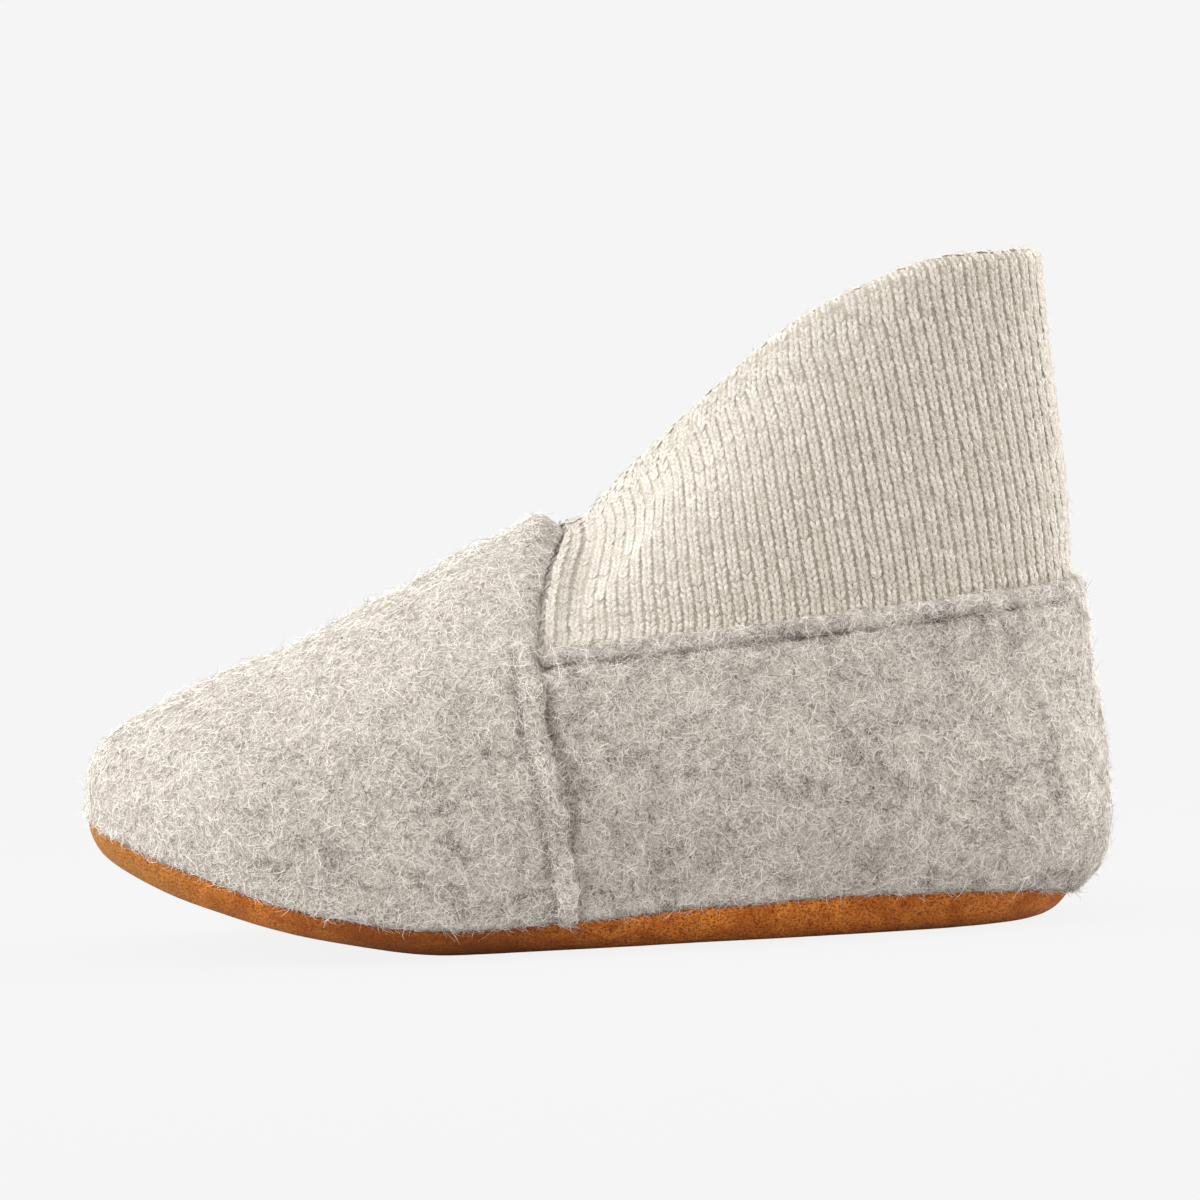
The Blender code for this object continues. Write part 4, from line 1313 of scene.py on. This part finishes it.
# %% Yarn
# Painted light and shade: a tone by place, one towards the toe and upward, another towards the heel.
STRETCH_AND_LIGHT_WAY = (-0.8, 0.0, 0.6)
STRETCH_AND_LIGHT_NONE = 0.0081
STRETCH_AND_LIGHT_FULL = 0.0231
STRETCHED_PAINTED_LIGHT = (0.95, 0.95, 0.94, 1.0)
FLECK_SCALE = 5200.0
FLECK_NOISE = (2.0, 0.7, 1.0)
FLECK_RANGE = (0.38, 0.72)
TONE_SHARE = 0.1
TWIST_SCALE = 6000.0
TWIST_NOISE = (2.0, 0.6, 1.5)
YARN_BUMP = (0.0002, 0.8)
YARN_FINISH = {"Roughness": 0.9, "Specular IOR Level": 0.2, "Sheen Weight": 0.25, "Sheen Roughness": 0.5}


def make_knit_material(name, light, dark, closed_painted_shade):
    """Wool yarn: its tone changes from stitch to stitch, with painted light and shade by its place."""
    material, tree, shader, place = new_material(name, YARN_FINISH)
    fleck = noise_value(tree, place, FLECK_SCALE, *FLECK_NOISE)
    fleck = work_out(tree, "ADD", times(tree, mesh_value(tree, "tone"), TONE_SHARE), fleck)
    colour = mix_colour(tree, spread(tree, fleck, *FLECK_RANGE), dark, light)
    frontward = add_node(tree, "ShaderNodeVectorMath", {0: place, 1: STRETCH_AND_LIGHT_WAY}, operation="DOT_PRODUCT")
    # Share of painted light: full towards the toe and upward, none towards the heel and lower down.
    stretched = spread(tree, frontward.outputs["Value"], STRETCH_AND_LIGHT_NONE, STRETCH_AND_LIGHT_FULL)
    shade = mix_colour(tree, stretched, closed_painted_shade, STRETCHED_PAINTED_LIGHT)
    tree.links.new(mix_colour(tree, 1.0, colour, shade, "MULTIPLY"), shader.inputs["Base Color"])
    add_bump(tree, shader, noise_value(tree, place, TWIST_SCALE, *TWIST_NOISE), *YARN_BUMP)
    return material


# The back of the knit: its colours and its tone on the closed side are painted shade.
knit_shade = make_knit_material(
    "knit ground", light=(0.72, 0.65, 0.555, 1.0), dark=(0.54, 0.47, 0.385, 1.0),
    closed_painted_shade=(0.68, 0.65, 0.61, 1.0))
yarn = make_knit_material(
    "cream yarn", light=(0.97, 0.92, 0.845, 1.0), dark=(0.57, 0.51, 0.43, 1.0),
    closed_painted_shade=(0.97, 0.96, 0.94, 1.0))
print("knit materials:", knit_shade.name, "and", yarn.name)

# %% [markdown]
# ## Ground of the knit
# Behind the ribs lies the back of the knit. Its colour is painted shade: darker than the yarn, and darker
# still between the closed ribs towards the heel. It is one closed wall, a little thinner than the strip, that
# goes up the outside, over the rim and down the inside. Just behind the felt's edge, which squeezes it, the
# knit swells a little.

# %% Ground of the knit
GROUND_DEPTH = 0.36
RIM_DEPTH = 0.21
GROUND_COLUMNS = 4
GROUND_SHARES = np.linspace(0.0, 1.0, 26) ** 1.5
FOLD_SHARES = np.linspace(0.0, 1.0, 7)[1:-1]
SWELL_AT = 1.7
SWELL_WIDTH = 1.4
SWELL_TURNS = (20.0, 70.0, 110.0)
SWELL_HEIGHTS = (1.5, 1.3, 0.5)
EDGE_COLUMNS = np.arange(0, len(LOOP_ANGLES), 0.1)[::3]

felt_edge = between(CUFF_OUTER[2], EDGE_COLUMNS)
felt_edge_turn = np.abs(np.interp(EDGE_COLUMNS, np.arange(len(LOOP_ANGLES)), LOOP_ANGLES))


def fold_over(outer, inner, share):
    """Points across the folded rim, raised in the middle."""
    return outer + (inner - outer) * share + RIM_ROUND * (1.0 - (2.0 * share - 1.0) ** 2) * UP


def swell(places):
    """How far the knit puffs out behind the felt's edge, by its distance from that edge."""
    gaps = np.linalg.norm(places.reshape(-1, 1, 3) - felt_edge, axis=2)
    height = np.interp(felt_edge_turn[gaps.argmin(axis=1)], SWELL_TURNS, SWELL_HEIGHTS)
    return (height * bell(gaps.min(axis=1) - SWELL_AT, SWELL_WIDTH)).reshape(places.shape[:-1])


def cuff_loops(curves):
    """The rings and curves of one face of the knit at the ground's own columns."""
    columns = np.arange(0, len(LOOP_ANGLES), 1.0 / GROUND_COLUMNS)
    return [between(loop, columns) for loop in curves]


def make_ground():
    outer, inner = [loops[:2] + [bezier(*loops[2:], share) for share in GROUND_SHARES]
                    for loops in (cuff_loops(CUFF_OUTER), cuff_loops(CUFF_INNER))]
    fold = [fold_over(outer[-1], inner[-1], share) for share in FOLD_SHARES]
    rings = np.array(outer + fold + inner[::-1])
    rows, size = rings.shape[:2]
    faces = [tuple(k % (rows * size) for k in face) for face in grid_faces(rows + 1, size, around=True)]
    piece = finish_mesh("knit_ground", rings, faces, knit_shade)
    lift = swell(rings)
    lift[:2] = 0.0
    lift[len(outer) + len(fold):] = 0.0
    sink = np.full((rows, size), GROUND_DEPTH)
    sink[len(outer) - 1:len(outer) + len(fold) + 1] = RIM_DEPTH
    for shift in (lift.ravel(), -sink.ravel()):
        for vertex, normal in [(v, v.normal.copy()) for v in piece.data.vertices]:
            vertex.co += normal * shift[vertex.index] * MM
        piece.data.update()
    return piece


ground = make_ground()
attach(ground, "root")
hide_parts("cuff")
print("knit_ground:", triangles(ground), "triangles")

# %% [markdown]
# ## Ribs
# Each rib is a column of V-shaped stitches. They could be modelled as one bent tube, but a rib is not even:
# its stitches are wide where the strip is stretched and narrow where it is closed. So every stitch gets a
# place of its own. A rib starts at its share of the hem and ends at the same share of the rim, then goes over
# the fold and down the lining.

# %% Strip of the knit
TREE_SHARES = np.linspace(0.0, 1.0, 31)
EDGE_SHARES = np.linspace(0.0, 1.0, 300)


def run_of(line):
    """Length along a line of points up to each of them."""
    return np.append(0.0, np.cumsum(np.linalg.norm(np.diff(line, axis=0), axis=1)))


def points_at(line, where):
    """Points of a line at given lengths along it."""
    return np.stack([np.interp(where, run_of(line), line[:, k]) for k in range(3)], axis=1)


def by_length(line, shares):
    """Points at given shares of the length of a line of points."""
    return points_at(line, shares * run_of(line)[-1])


def face_tree(curves):
    """One face of the knit as a search tree for the nearest point on it."""
    loops = cuff_loops(curves)[2:]
    rows = np.array([bezier(*loops, share) for share in TREE_SHARES])
    return BVHTree.FromPolygons(rows.reshape(-1, 3).tolist(), grid_faces(*rows.shape[:2], around=True))


def strip_side(curves, side, u, v):
    """Points of one side of the strip by shares of its length u and height v: a blend of its four edges,
    the hem, the rim, the throat and the heel, laid on the knit's face."""
    still = np.zeros(len(EDGE_SHARES))
    hem = knit_face(curves, side * (90.0 + 90.0 * EDGE_SHARES), still)
    rim = knit_face(curves, side * 180.0 * EDGE_SHARES, still + 1.0)
    under_vamp = knit_face(curves, side * 90.0 * (1.0 - EDGE_SHARES), still)
    throat = np.concatenate([under_vamp, knit_face(curves, still, EDGE_SHARES)])
    heel = knit_face(curves, still + side * 180.0, EDGE_SHARES)
    low, high = by_length(hem, u)[:, None], by_length(rim, u)[:, None]
    front, back = by_length(throat, v)[None], by_length(heel, v)[None]
    u = u[:, None, None]
    v = v[None, :, None]
    corners = (1 - u) * ((1 - v) * hem[0] + v * rim[0]) + u * ((1 - v) * hem[-1] + v * rim[-1])
    blend = (1 - v) * low + v * high + (1 - u) * front + u * back - corners
    tree = face_tree(curves)
    laid = [tree.find_nearest(Vector(place))[0] for place in blend.reshape(-1, 3)]
    return np.array(laid).reshape(blend.shape)


half_rim = knit_face(CUFF_OUTER, 180.0 * EDGE_SHARES, np.ones(len(EDGE_SHARES)))
print("half of the rim is", round(float(run_of(half_rim)[-1]), 1), "mm long")

# %% Stitch places
RIBS_A_SIDE = 48
FIRST_RIB = 0.15
OUTER_ROWS = 44
FOLD_ROWS = 5
LINING_ROWS = 38
OUTSIDE_ROWS = OUTER_ROWS + FOLD_ROWS
LINING_STOP = 0.05
OUTER_SHARES = np.linspace(0.0, 1.0, 61)
LINING_SHARES = np.linspace(1.0, LINING_STOP, 31)


def stitch_grid():
    """Middles of all stitches, a row for each rib from the outer throat by the heel to the inner throat."""
    u = (np.arange(RIBS_A_SIDE) + FIRST_RIB) / (RIBS_A_SIDE - 0.5 + FIRST_RIB)
    counts = (OUTER_ROWS, FOLD_ROWS, LINING_ROWS)
    grid = []
    for side in (-1.0, 1.0):
        outer = strip_side(CUFF_OUTER, side, u, OUTER_SHARES)
        inner = strip_side(CUFF_INNER, side, u, LINING_SHARES)
        fold = np.stack([fold_over(outer[:, -1], inner[:, 0], share) for share in FOLD_SHARES], axis=1)
        ribs = []
        for path in np.concatenate([outer, fold, inner], axis=1):
            length = run_of(path)
            stops = (0.0, length[outer.shape[1] - 1], length[-inner.shape[1]], length[-1])
            where = np.concatenate([first + (np.arange(count) + 0.5) / count * (last - first)
                                    for first, last, count in zip(stops, stops[1:], counts)])
            ribs.append(points_at(path, where))
        grid += ribs if side < 0.0 else ribs[::-1]
    return np.array(grid)


def stitch_frame(places):
    """Vectors to the next rib and to the next row at each stitch, and the direction out of the knit."""
    across = np.gradient(places, axis=0)
    along = np.gradient(places, axis=1)
    return across, along, unit(np.cross(across, along))


stitches = stitch_grid()
puff = swell(stitches)
puff[:, OUTER_ROWS:] = 0.0
stitches = stitches + stitch_frame(stitches)[2] * puff[..., None]
across, along, stitch_out = stitch_frame(stitches)
pitch = np.linalg.norm(across, axis=-1)
row_height = np.linalg.norm(along, axis=-1)
for label, sizes in (("rib pitch", pitch), ("row height", row_height)):
    print(label, "of", sizes.shape, "stitches", np.round(np.percentile(sizes, (2, 50, 98)), 2), "mm")

# %% [markdown]
# ## A stitch
# A knitted stitch shows as a V, two legs of yarn that lean apart. Only the upper half of each leg is made,
# because its lower half would lie in the ground, and it has a few faces, because it is set thousands of
# times. Geometry Nodes sets one V at each place, turned by two vectors and stretched to the local spacing.

# %% Stitch and its tree
LEG_SPINE = np.array(((0.05, -0.95, -0.08), (0.15, -0.36, 0.02), (0.255, 0.28, 0.01), (0.34, 0.85, -0.08)))
LEG_WIDTH = 0.185
LEG_DEPTH = 0.15
LEG_ARC = np.radians((180.0, 120.0, 60.0, 0.0))


def make_stitch():
    """Two legs of yarn in shares of the rib's pitch (X, Z) and of the row's height (Y), in metres of one."""
    points = []
    faces = []
    arc = np.stack([LEG_WIDTH * np.cos(LEG_ARC), 0.0 * LEG_ARC, LEG_DEPTH * np.sin(LEG_ARC)], axis=1)
    for lean in (-1.0, 1.0):
        first = len(points)
        spine = LEG_SPINE * (lean, 1.0, 1.0)
        points += [spine[0], *(spine[1] + arc), *(spine[2] + arc), spine[3]]
        tip = len(points) - 1
        for k in range(first + 1, first + len(LEG_ARC)):
            upper = k + len(LEG_ARC)
            faces += [(first, k + 1, k), (k, k + 1, upper + 1, upper), (upper, upper + 1, tip)]
    mesh = bpy.data.meshes.new("stitch")
    mesh.from_pydata([tuple(p) for p in points], [], faces)
    mesh.shade_smooth()
    return bpy.data.objects.new("stitch", mesh)


def make_stitch_tree():
    """Geometry Nodes: one stitch at each point, turned by its two vectors and stretched by its size."""
    tree, given, result = new_group("set_stitches", "GeometryNodeTree", {
        **GEOMETRY, "Stitch": "NodeSocketObject", "Seed": "NodeSocketInt",
        "Material": "NodeSocketMaterial"}, GEOMETRY)
    out, ahead, size = [
        add_node(tree, "GeometryNodeInputNamedAttribute", {"Name": name}, data_type="FLOAT_VECTOR").outputs[0]
        for name in ("out", "along", "size")]
    rotation = add_node(tree, "FunctionNodeAxesToRotation", {
        "Primary Axis": out, "Secondary Axis": ahead}, primary_axis="Z", secondary_axis="Y")
    shape = add_node(tree, "GeometryNodeObjectInfo", {
        "Object": given.outputs["Stitch"], "As Instance": True})
    placed = add_node(tree, "GeometryNodeInstanceOnPoints", {
        "Points": given.outputs["Geometry"], "Instance": shape.outputs["Geometry"],
        "Rotation": rotation.outputs[0], "Scale": size})
    end_tree(tree, given, result, placed, given.outputs["Seed"])
    return tree


stitch_tree = make_stitch_tree()
stitch = make_stitch()
print("a stitch of", triangles(stitch), "triangles")

# %% [markdown]
# ## Stitches of the cuff
# Where the strip is stretched its stitches lie flat, and where it is closed they stand up side by side. Each
# stitch is a little off in size and place, as in real knitting, and sunk so that its ends meet the ground.

# %% Stitches of the cuff
STITCH_SINK = 0.30
STITCH_UNEVEN = 0.05
STRETCHED_RELIEF = 0.45
CLOSED_RELIEF = 1.0
CLOSED_WIDTH = 0.95
FOLD_CLOSED = 0.45
FOLD_RELIEF = 0.85
RIB_RUNS = (("knit_ribs", slice(0, OUTSIDE_ROWS), 7), ("knit_lining_ribs", slice(OUTSIDE_ROWS, None), 8))

draw = np.random.default_rng(SEEDS["stitches"])
frontward = ((stitches - ORIGIN) * MM) @ np.array(STRETCH_AND_LIGHT_WAY)
closed = 1.0 - ramp(frontward, STRETCH_AND_LIGHT_NONE, STRETCH_AND_LIGHT_FULL - STRETCH_AND_LIGHT_NONE)
closed[:, OUTER_ROWS:OUTSIDE_ROWS] *= FOLD_CLOSED
relief = STRETCHED_RELIEF + (CLOSED_RELIEF - STRETCHED_RELIEF) * closed
relief[:, OUTER_ROWS:OUTSIDE_ROWS] = np.maximum(relief[:, OUTER_ROWS:OUTSIDE_ROWS], FOLD_RELIEF)
stitch_size = np.stack([pitch * (1.0 + (CLOSED_WIDTH - 1.0) * closed), row_height, pitch * relief], axis=-1)
stitch_size = stitch_size * (1.0 + STITCH_UNEVEN * draw.standard_normal(stitch_size.shape))
stitch_place = stitches - stitch_out * STITCH_SINK
stitch_place = stitch_place + draw.normal(0.0, STITCH_UNEVEN, stitch_place.shape)


def stitch_points(rows):
    """Bare points for some rows of stitches, with the vectors that the tree reads."""
    mesh = bpy.data.meshes.new("stitch points")
    mesh.from_pydata(to_part(stitch_place[:, rows]), [], [])
    for label, vectors in (("out", stitch_out), ("along", unit(along)), ("size", stitch_size * MM)):
        keep_values(mesh, label, vectors[:, rows])
    return bpy.data.objects.new("stitch points", mesh)


for name, rows, seed in RIB_RUNS:
    carrier = stitch_points(rows)
    ribs = grow(carrier, stitch_tree, name, {"Stitch": stitch, "Seed": seed, "Material": yarn})
    bpy.data.objects.remove(carrier)
    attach(ribs, "root")
    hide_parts("cuff")
    print(name, triangles(ribs), "triangles")
bpy.data.objects.remove(stitch)

# %% [markdown]
# ## Fuzz of the knit
# Wool yarn has a halo of loose fibres that softens its stitches. The same curls as on the felt, fewer and
# cream, are scattered by the same tree over a sheet through the stitches, and reach out between the ribs.

# %% Fuzz of the knit
FUZZ_DENSITY = 3.6e6
FUZZ_LIFT = 0.25
FUZZ_LEAST = 0.4
FUZZ_SEED = 3


def make_fuzz_carrier():
    """The outer face of the strip with the middles of its stitches as points, and how fuzzy it is."""
    places = stitch_place[:, :OUTSIDE_ROWS] + stitch_out[:, :OUTSIDE_ROWS] * FUZZ_LIFT
    mesh = bpy.data.meshes.new("fuzz carrier")
    mesh.from_pydata(to_part(places), [], [face[::-1] for face in grid_faces(*places.shape[:2])])
    keep_values(mesh, "fuzz", at_least(FUZZ_LEAST, closed[:, :OUTSIDE_ROWS]).ravel())
    return bpy.data.objects.new("fuzz carrier", mesh)


carrier = make_fuzz_carrier()
knit_fuzz = grow(carrier, scatter_tree, "knit_fuzz", {
    "Hairs": curl_kit, "Density": FUZZ_DENSITY, "Seed": FUZZ_SEED, "Material": yarn})
bpy.data.objects.remove(carrier)
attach(knit_fuzz, "root")
clear_kit(curl_kit)
clear_kit(hair_kit)
print("knit_fuzz", triangles(knit_fuzz), "triangles")

# %% [markdown]
# ## Sole
# The sole is one piece of suede, dished like a shallow boat with toe spring, and its edge rolls up to the
# felt. It could be a flat outline with thickness, but a turned sole has no flat edge: so it is made of rings,
# from the middle line out to the seam, once for the underside and once for the inside.

# %% Sole form
SPINE_FRONT = 27.0
SPINE_BACK = 98.0
EDGE_START = 0.72
EDGE_POWER = 2.3
INWARD_SHARE = 0.02


def edge_share(share):
    """Where on the sole's rolled edge a share lies, from 0 at its start to 1 at the seam."""
    return np.clip((share - EDGE_START) / (1.0 - EDGE_START), 0.0, 1.0)


def tread(angle, share):
    """Underside of the sole, from its middle line (share 0) out to the seam (share 1)."""
    edge = seam_line(angle)
    hub = edge.copy()
    hub[..., 0] = np.clip(edge[..., 0], SPINE_FRONT, SPINE_BACK)
    hub[..., 1] = sole_value("middle", angle)[..., 0]
    place = hub + (edge - hub) * share
    along_sole = np.clip(place[..., 0], 0.0, SOLE_LENGTH)
    turn = np.degrees(np.arccos(1.0 - 2.0 * along_sole / SOLE_LENGTH))
    lift = (sole_value("seam_z", angle) - sole_value("tread_z", angle)) * edge_share(share) ** EDGE_POWER
    place[..., 2] = (sole_value("tread_z", turn) + lift)[..., 0]
    return place


def sole_inward(angle, share):
    """The way through the suede: square to the tread, and along the felt's own edge at the seam."""
    sideways = tread(angle + NORMAL_TURN, share) - tread(angle - NORMAL_TURN, share)
    outwards = tread(angle, share) - tread(angle, share - INWARD_SHARE)
    square = unit(np.cross(sideways, outwards))
    leaving = foot_direction(angle)
    away = outward(angle)
    through = UP * (leaving * away).sum(axis=-1, keepdims=True) - away * leaving[..., 2:]
    lean = edge_share(share)
    return unit(square * (1.0 - lean) + through * lean)


def pad_faces(count, size):
    """Faces of a closed pad of rings, its two ends filled from side to side; the heel is last in a ring."""
    faces = grid_faces(count, size, around=True)
    toe = size // 2 - 1
    for first in (0, (count - 1) * size):
        outer_side = [first + toe - k for k in range(toe + 1)]
        inner_side = [first + toe + k for k in range(toe + 1)]
        faces.append((outer_side[0], outer_side[1], inner_side[1]))
        faces += [(outer_side[k], outer_side[k + 1], inner_side[k + 1], inner_side[k]) for k in range(1, toe)]
        faces.append((outer_side[-1], first + size - 1, inner_side[-1]))
    return faces


print("tread under the ball at", np.round(tread(76.0, 0.5), 1))

# %% [markdown]
# ## Suede
# Suede has a short nap, so its colour is broken into fine grains, darker where the nap is brushed away. On
# this slipper the toe is rubbed dull, and the sole is darkened with painted shade under the ball and the
# heel. A noise makes the grain, a wider one the brushing, and distances along the sole place the wear and
# the painted shade.

# %% Suede
HIDE = (0.15, 0.035, 0.006, 1.0)
BRUSHED_DOWN = (0.49, 0.130, 0.019, 1.0)
BRUSHED_UP = (0.76, 0.250, 0.044, 1.0)
WORN_NAP = (0.38, 0.16, 0.026, 1.0)
# Painted shade under the ball and the heel: its colour, its places along the sole and its reach.
BALL_AND_HEEL_PAINTED_SHADE = (0.20, 0.045, 0.007, 1.0)
GRAIN_SCALE = 3500.0
GRAIN_NOISE = (1.5, 0.75, 0.4)
GRAIN_RANGE = (0.28, 0.62)
GRAIN_BUMP = (0.00018, 0.8)
BRUSH_SCALE = 260.0
BRUSH_NOISE = (3.0, 0.6, 0.8)
BRUSH_RANGE = (0.35, 0.65)
WORN_TOE = (-0.060, -0.036)
WORN_SHARE = 0.9
PAINTED_SHADE_SPOTS = ((-0.020, 0.75), (0.046, 0.35))
PAINTED_SHADE_REACH = (0.004, 0.026)
SUEDE_FINISH = {"Roughness": 0.9, "Specular IOR Level": 0.15, "Sheen Weight": 0.1, "Sheen Roughness": 0.5,
                "Sheen Tint": (1.0, 0.70, 0.38, 1.0)}


def make_suede():
    """Brushed suede: caramel grains over a darker hide, with a soft sheen."""
    material, tree, shader, place = new_material("caramel suede", SUEDE_FINISH)
    grain = noise_value(tree, place, GRAIN_SCALE, *GRAIN_NOISE)
    brush = spread(tree, noise_value(tree, place, BRUSH_SCALE, *BRUSH_NOISE), *BRUSH_RANGE)
    nap = mix_colour(tree, brush, BRUSHED_DOWN, BRUSHED_UP)
    along_sole = add_node(tree, "ShaderNodeSeparateXYZ", {"Vector": place}).outputs["X"]
    nap = mix_colour(tree, spread(tree, along_sole, *WORN_TOE, WORN_SHARE, 0.0), nap, WORN_NAP)
    # Painted shade, darkest under the ball and lighter under the heel.
    for where, share in PAINTED_SHADE_SPOTS:
        away = work_out(tree, "ABSOLUTE", work_out(tree, "SUBTRACT", along_sole, where), 0.0)
        nap = mix_colour(tree, spread(tree, away, *PAINTED_SHADE_REACH, share, 0.0), nap, BALL_AND_HEEL_PAINTED_SHADE)
    colour = mix_colour(tree, spread(tree, grain, *GRAIN_RANGE), HIDE, nap)
    tree.links.new(colour, shader.inputs["Base Color"])
    add_bump(tree, shader, grain, *GRAIN_BUMP)
    return material


suede = make_suede()
print("suede:", suede.name)

# %% Sole
SOLE_WALL = 1.4
SOLE_SHARES = np.concatenate([np.linspace(0.08, 0.70, 14), np.linspace(0.74, 1.0, 14)])
SOLE_COLUMN_STEP = 1.5
SOLE_LUMPS = ((16.0, 0.12), (4.0, 0.06), (0.9, 0.05))
EDGE_BULGE = 0.35
TOE_BULGE = 0.9
TOE_SPREAD = 34.0
BULGE_POWER = 1.5


def sole_columns(step):
    """Angles of a ring of the sole, from beside the heel by the toe to the heel."""
    return np.arange(-180 + step, 180 + 0.1, step)


def make_sole():
    angle = sole_columns(SOLE_COLUMN_STEP)
    under = np.array([tread(angle, share) for share in SOLE_SHARES])
    through = np.array([sole_inward(angle, share) for share in SOLE_SHARES])
    over = under + SOLE_WALL * through
    rolled = edge_share(SOLE_SHARES)[:, None]
    bulge = (EDGE_BULGE + TOE_BULGE * bell(angle, TOE_SPREAD)) * np.sin(math.pi * rolled ** BULGE_POWER)
    bulge = bulge + lumps(under, SOLE_LUMPS, SEEDS["sole"]) * rolled
    rings = np.concatenate([under - through * bulge[..., None], over[::-1]])
    return finish_mesh("suede_sole", rings, pad_faces(*rings.shape[:2]), suede)


sole = make_sole()
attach(sole, "root")
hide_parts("sole")
print("suede_sole:", triangles(sole), "triangles")

# %% [markdown]
# ## Insole
# The insole is a felt pad that lies in the dish and is seen through the collar. It is made of the same rings
# as the sole, raised by the suede's thickness, with a rounded rim and a softly uneven top.

# %% Insole
INSOLE_WALL = 2.2
INSOLE_ROUND = 0.6
INSOLE_SHARES = np.append(np.linspace(0.08, 0.92, 15), 0.985)
INSOLE_COLUMN_STEP = 3.0
INSOLE_LUMPS = ((9.0, 0.25), (2.0, 0.08))


def make_insole():
    angle = sole_columns(INSOLE_COLUMN_STEP)
    lift = SOLE_WALL + SEAT_GAP
    under = np.array([tread(angle, share) + lift * sole_inward(angle, share) for share in INSOLE_SHARES])
    rim = under[-1:] + INSOLE_ROUND * INSOLE_WALL * UP
    over = under[::-1] + INSOLE_WALL * UP
    over[0] = (over[0] + over[1]) / 2.0 * (1.0, 1.0, 0.0) + over[0] * UP
    over = over + lumps(over, INSOLE_LUMPS, SEEDS["insole"])[..., None] * UP
    rings = np.concatenate([under, rim, over])
    return finish_mesh("felt_insole", rings, pad_faces(*rings.shape[:2]), insole_felt)


insole = make_insole()
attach(insole, "root")
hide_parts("insole")
print("felt_insole:", triangles(insole), "triangles")
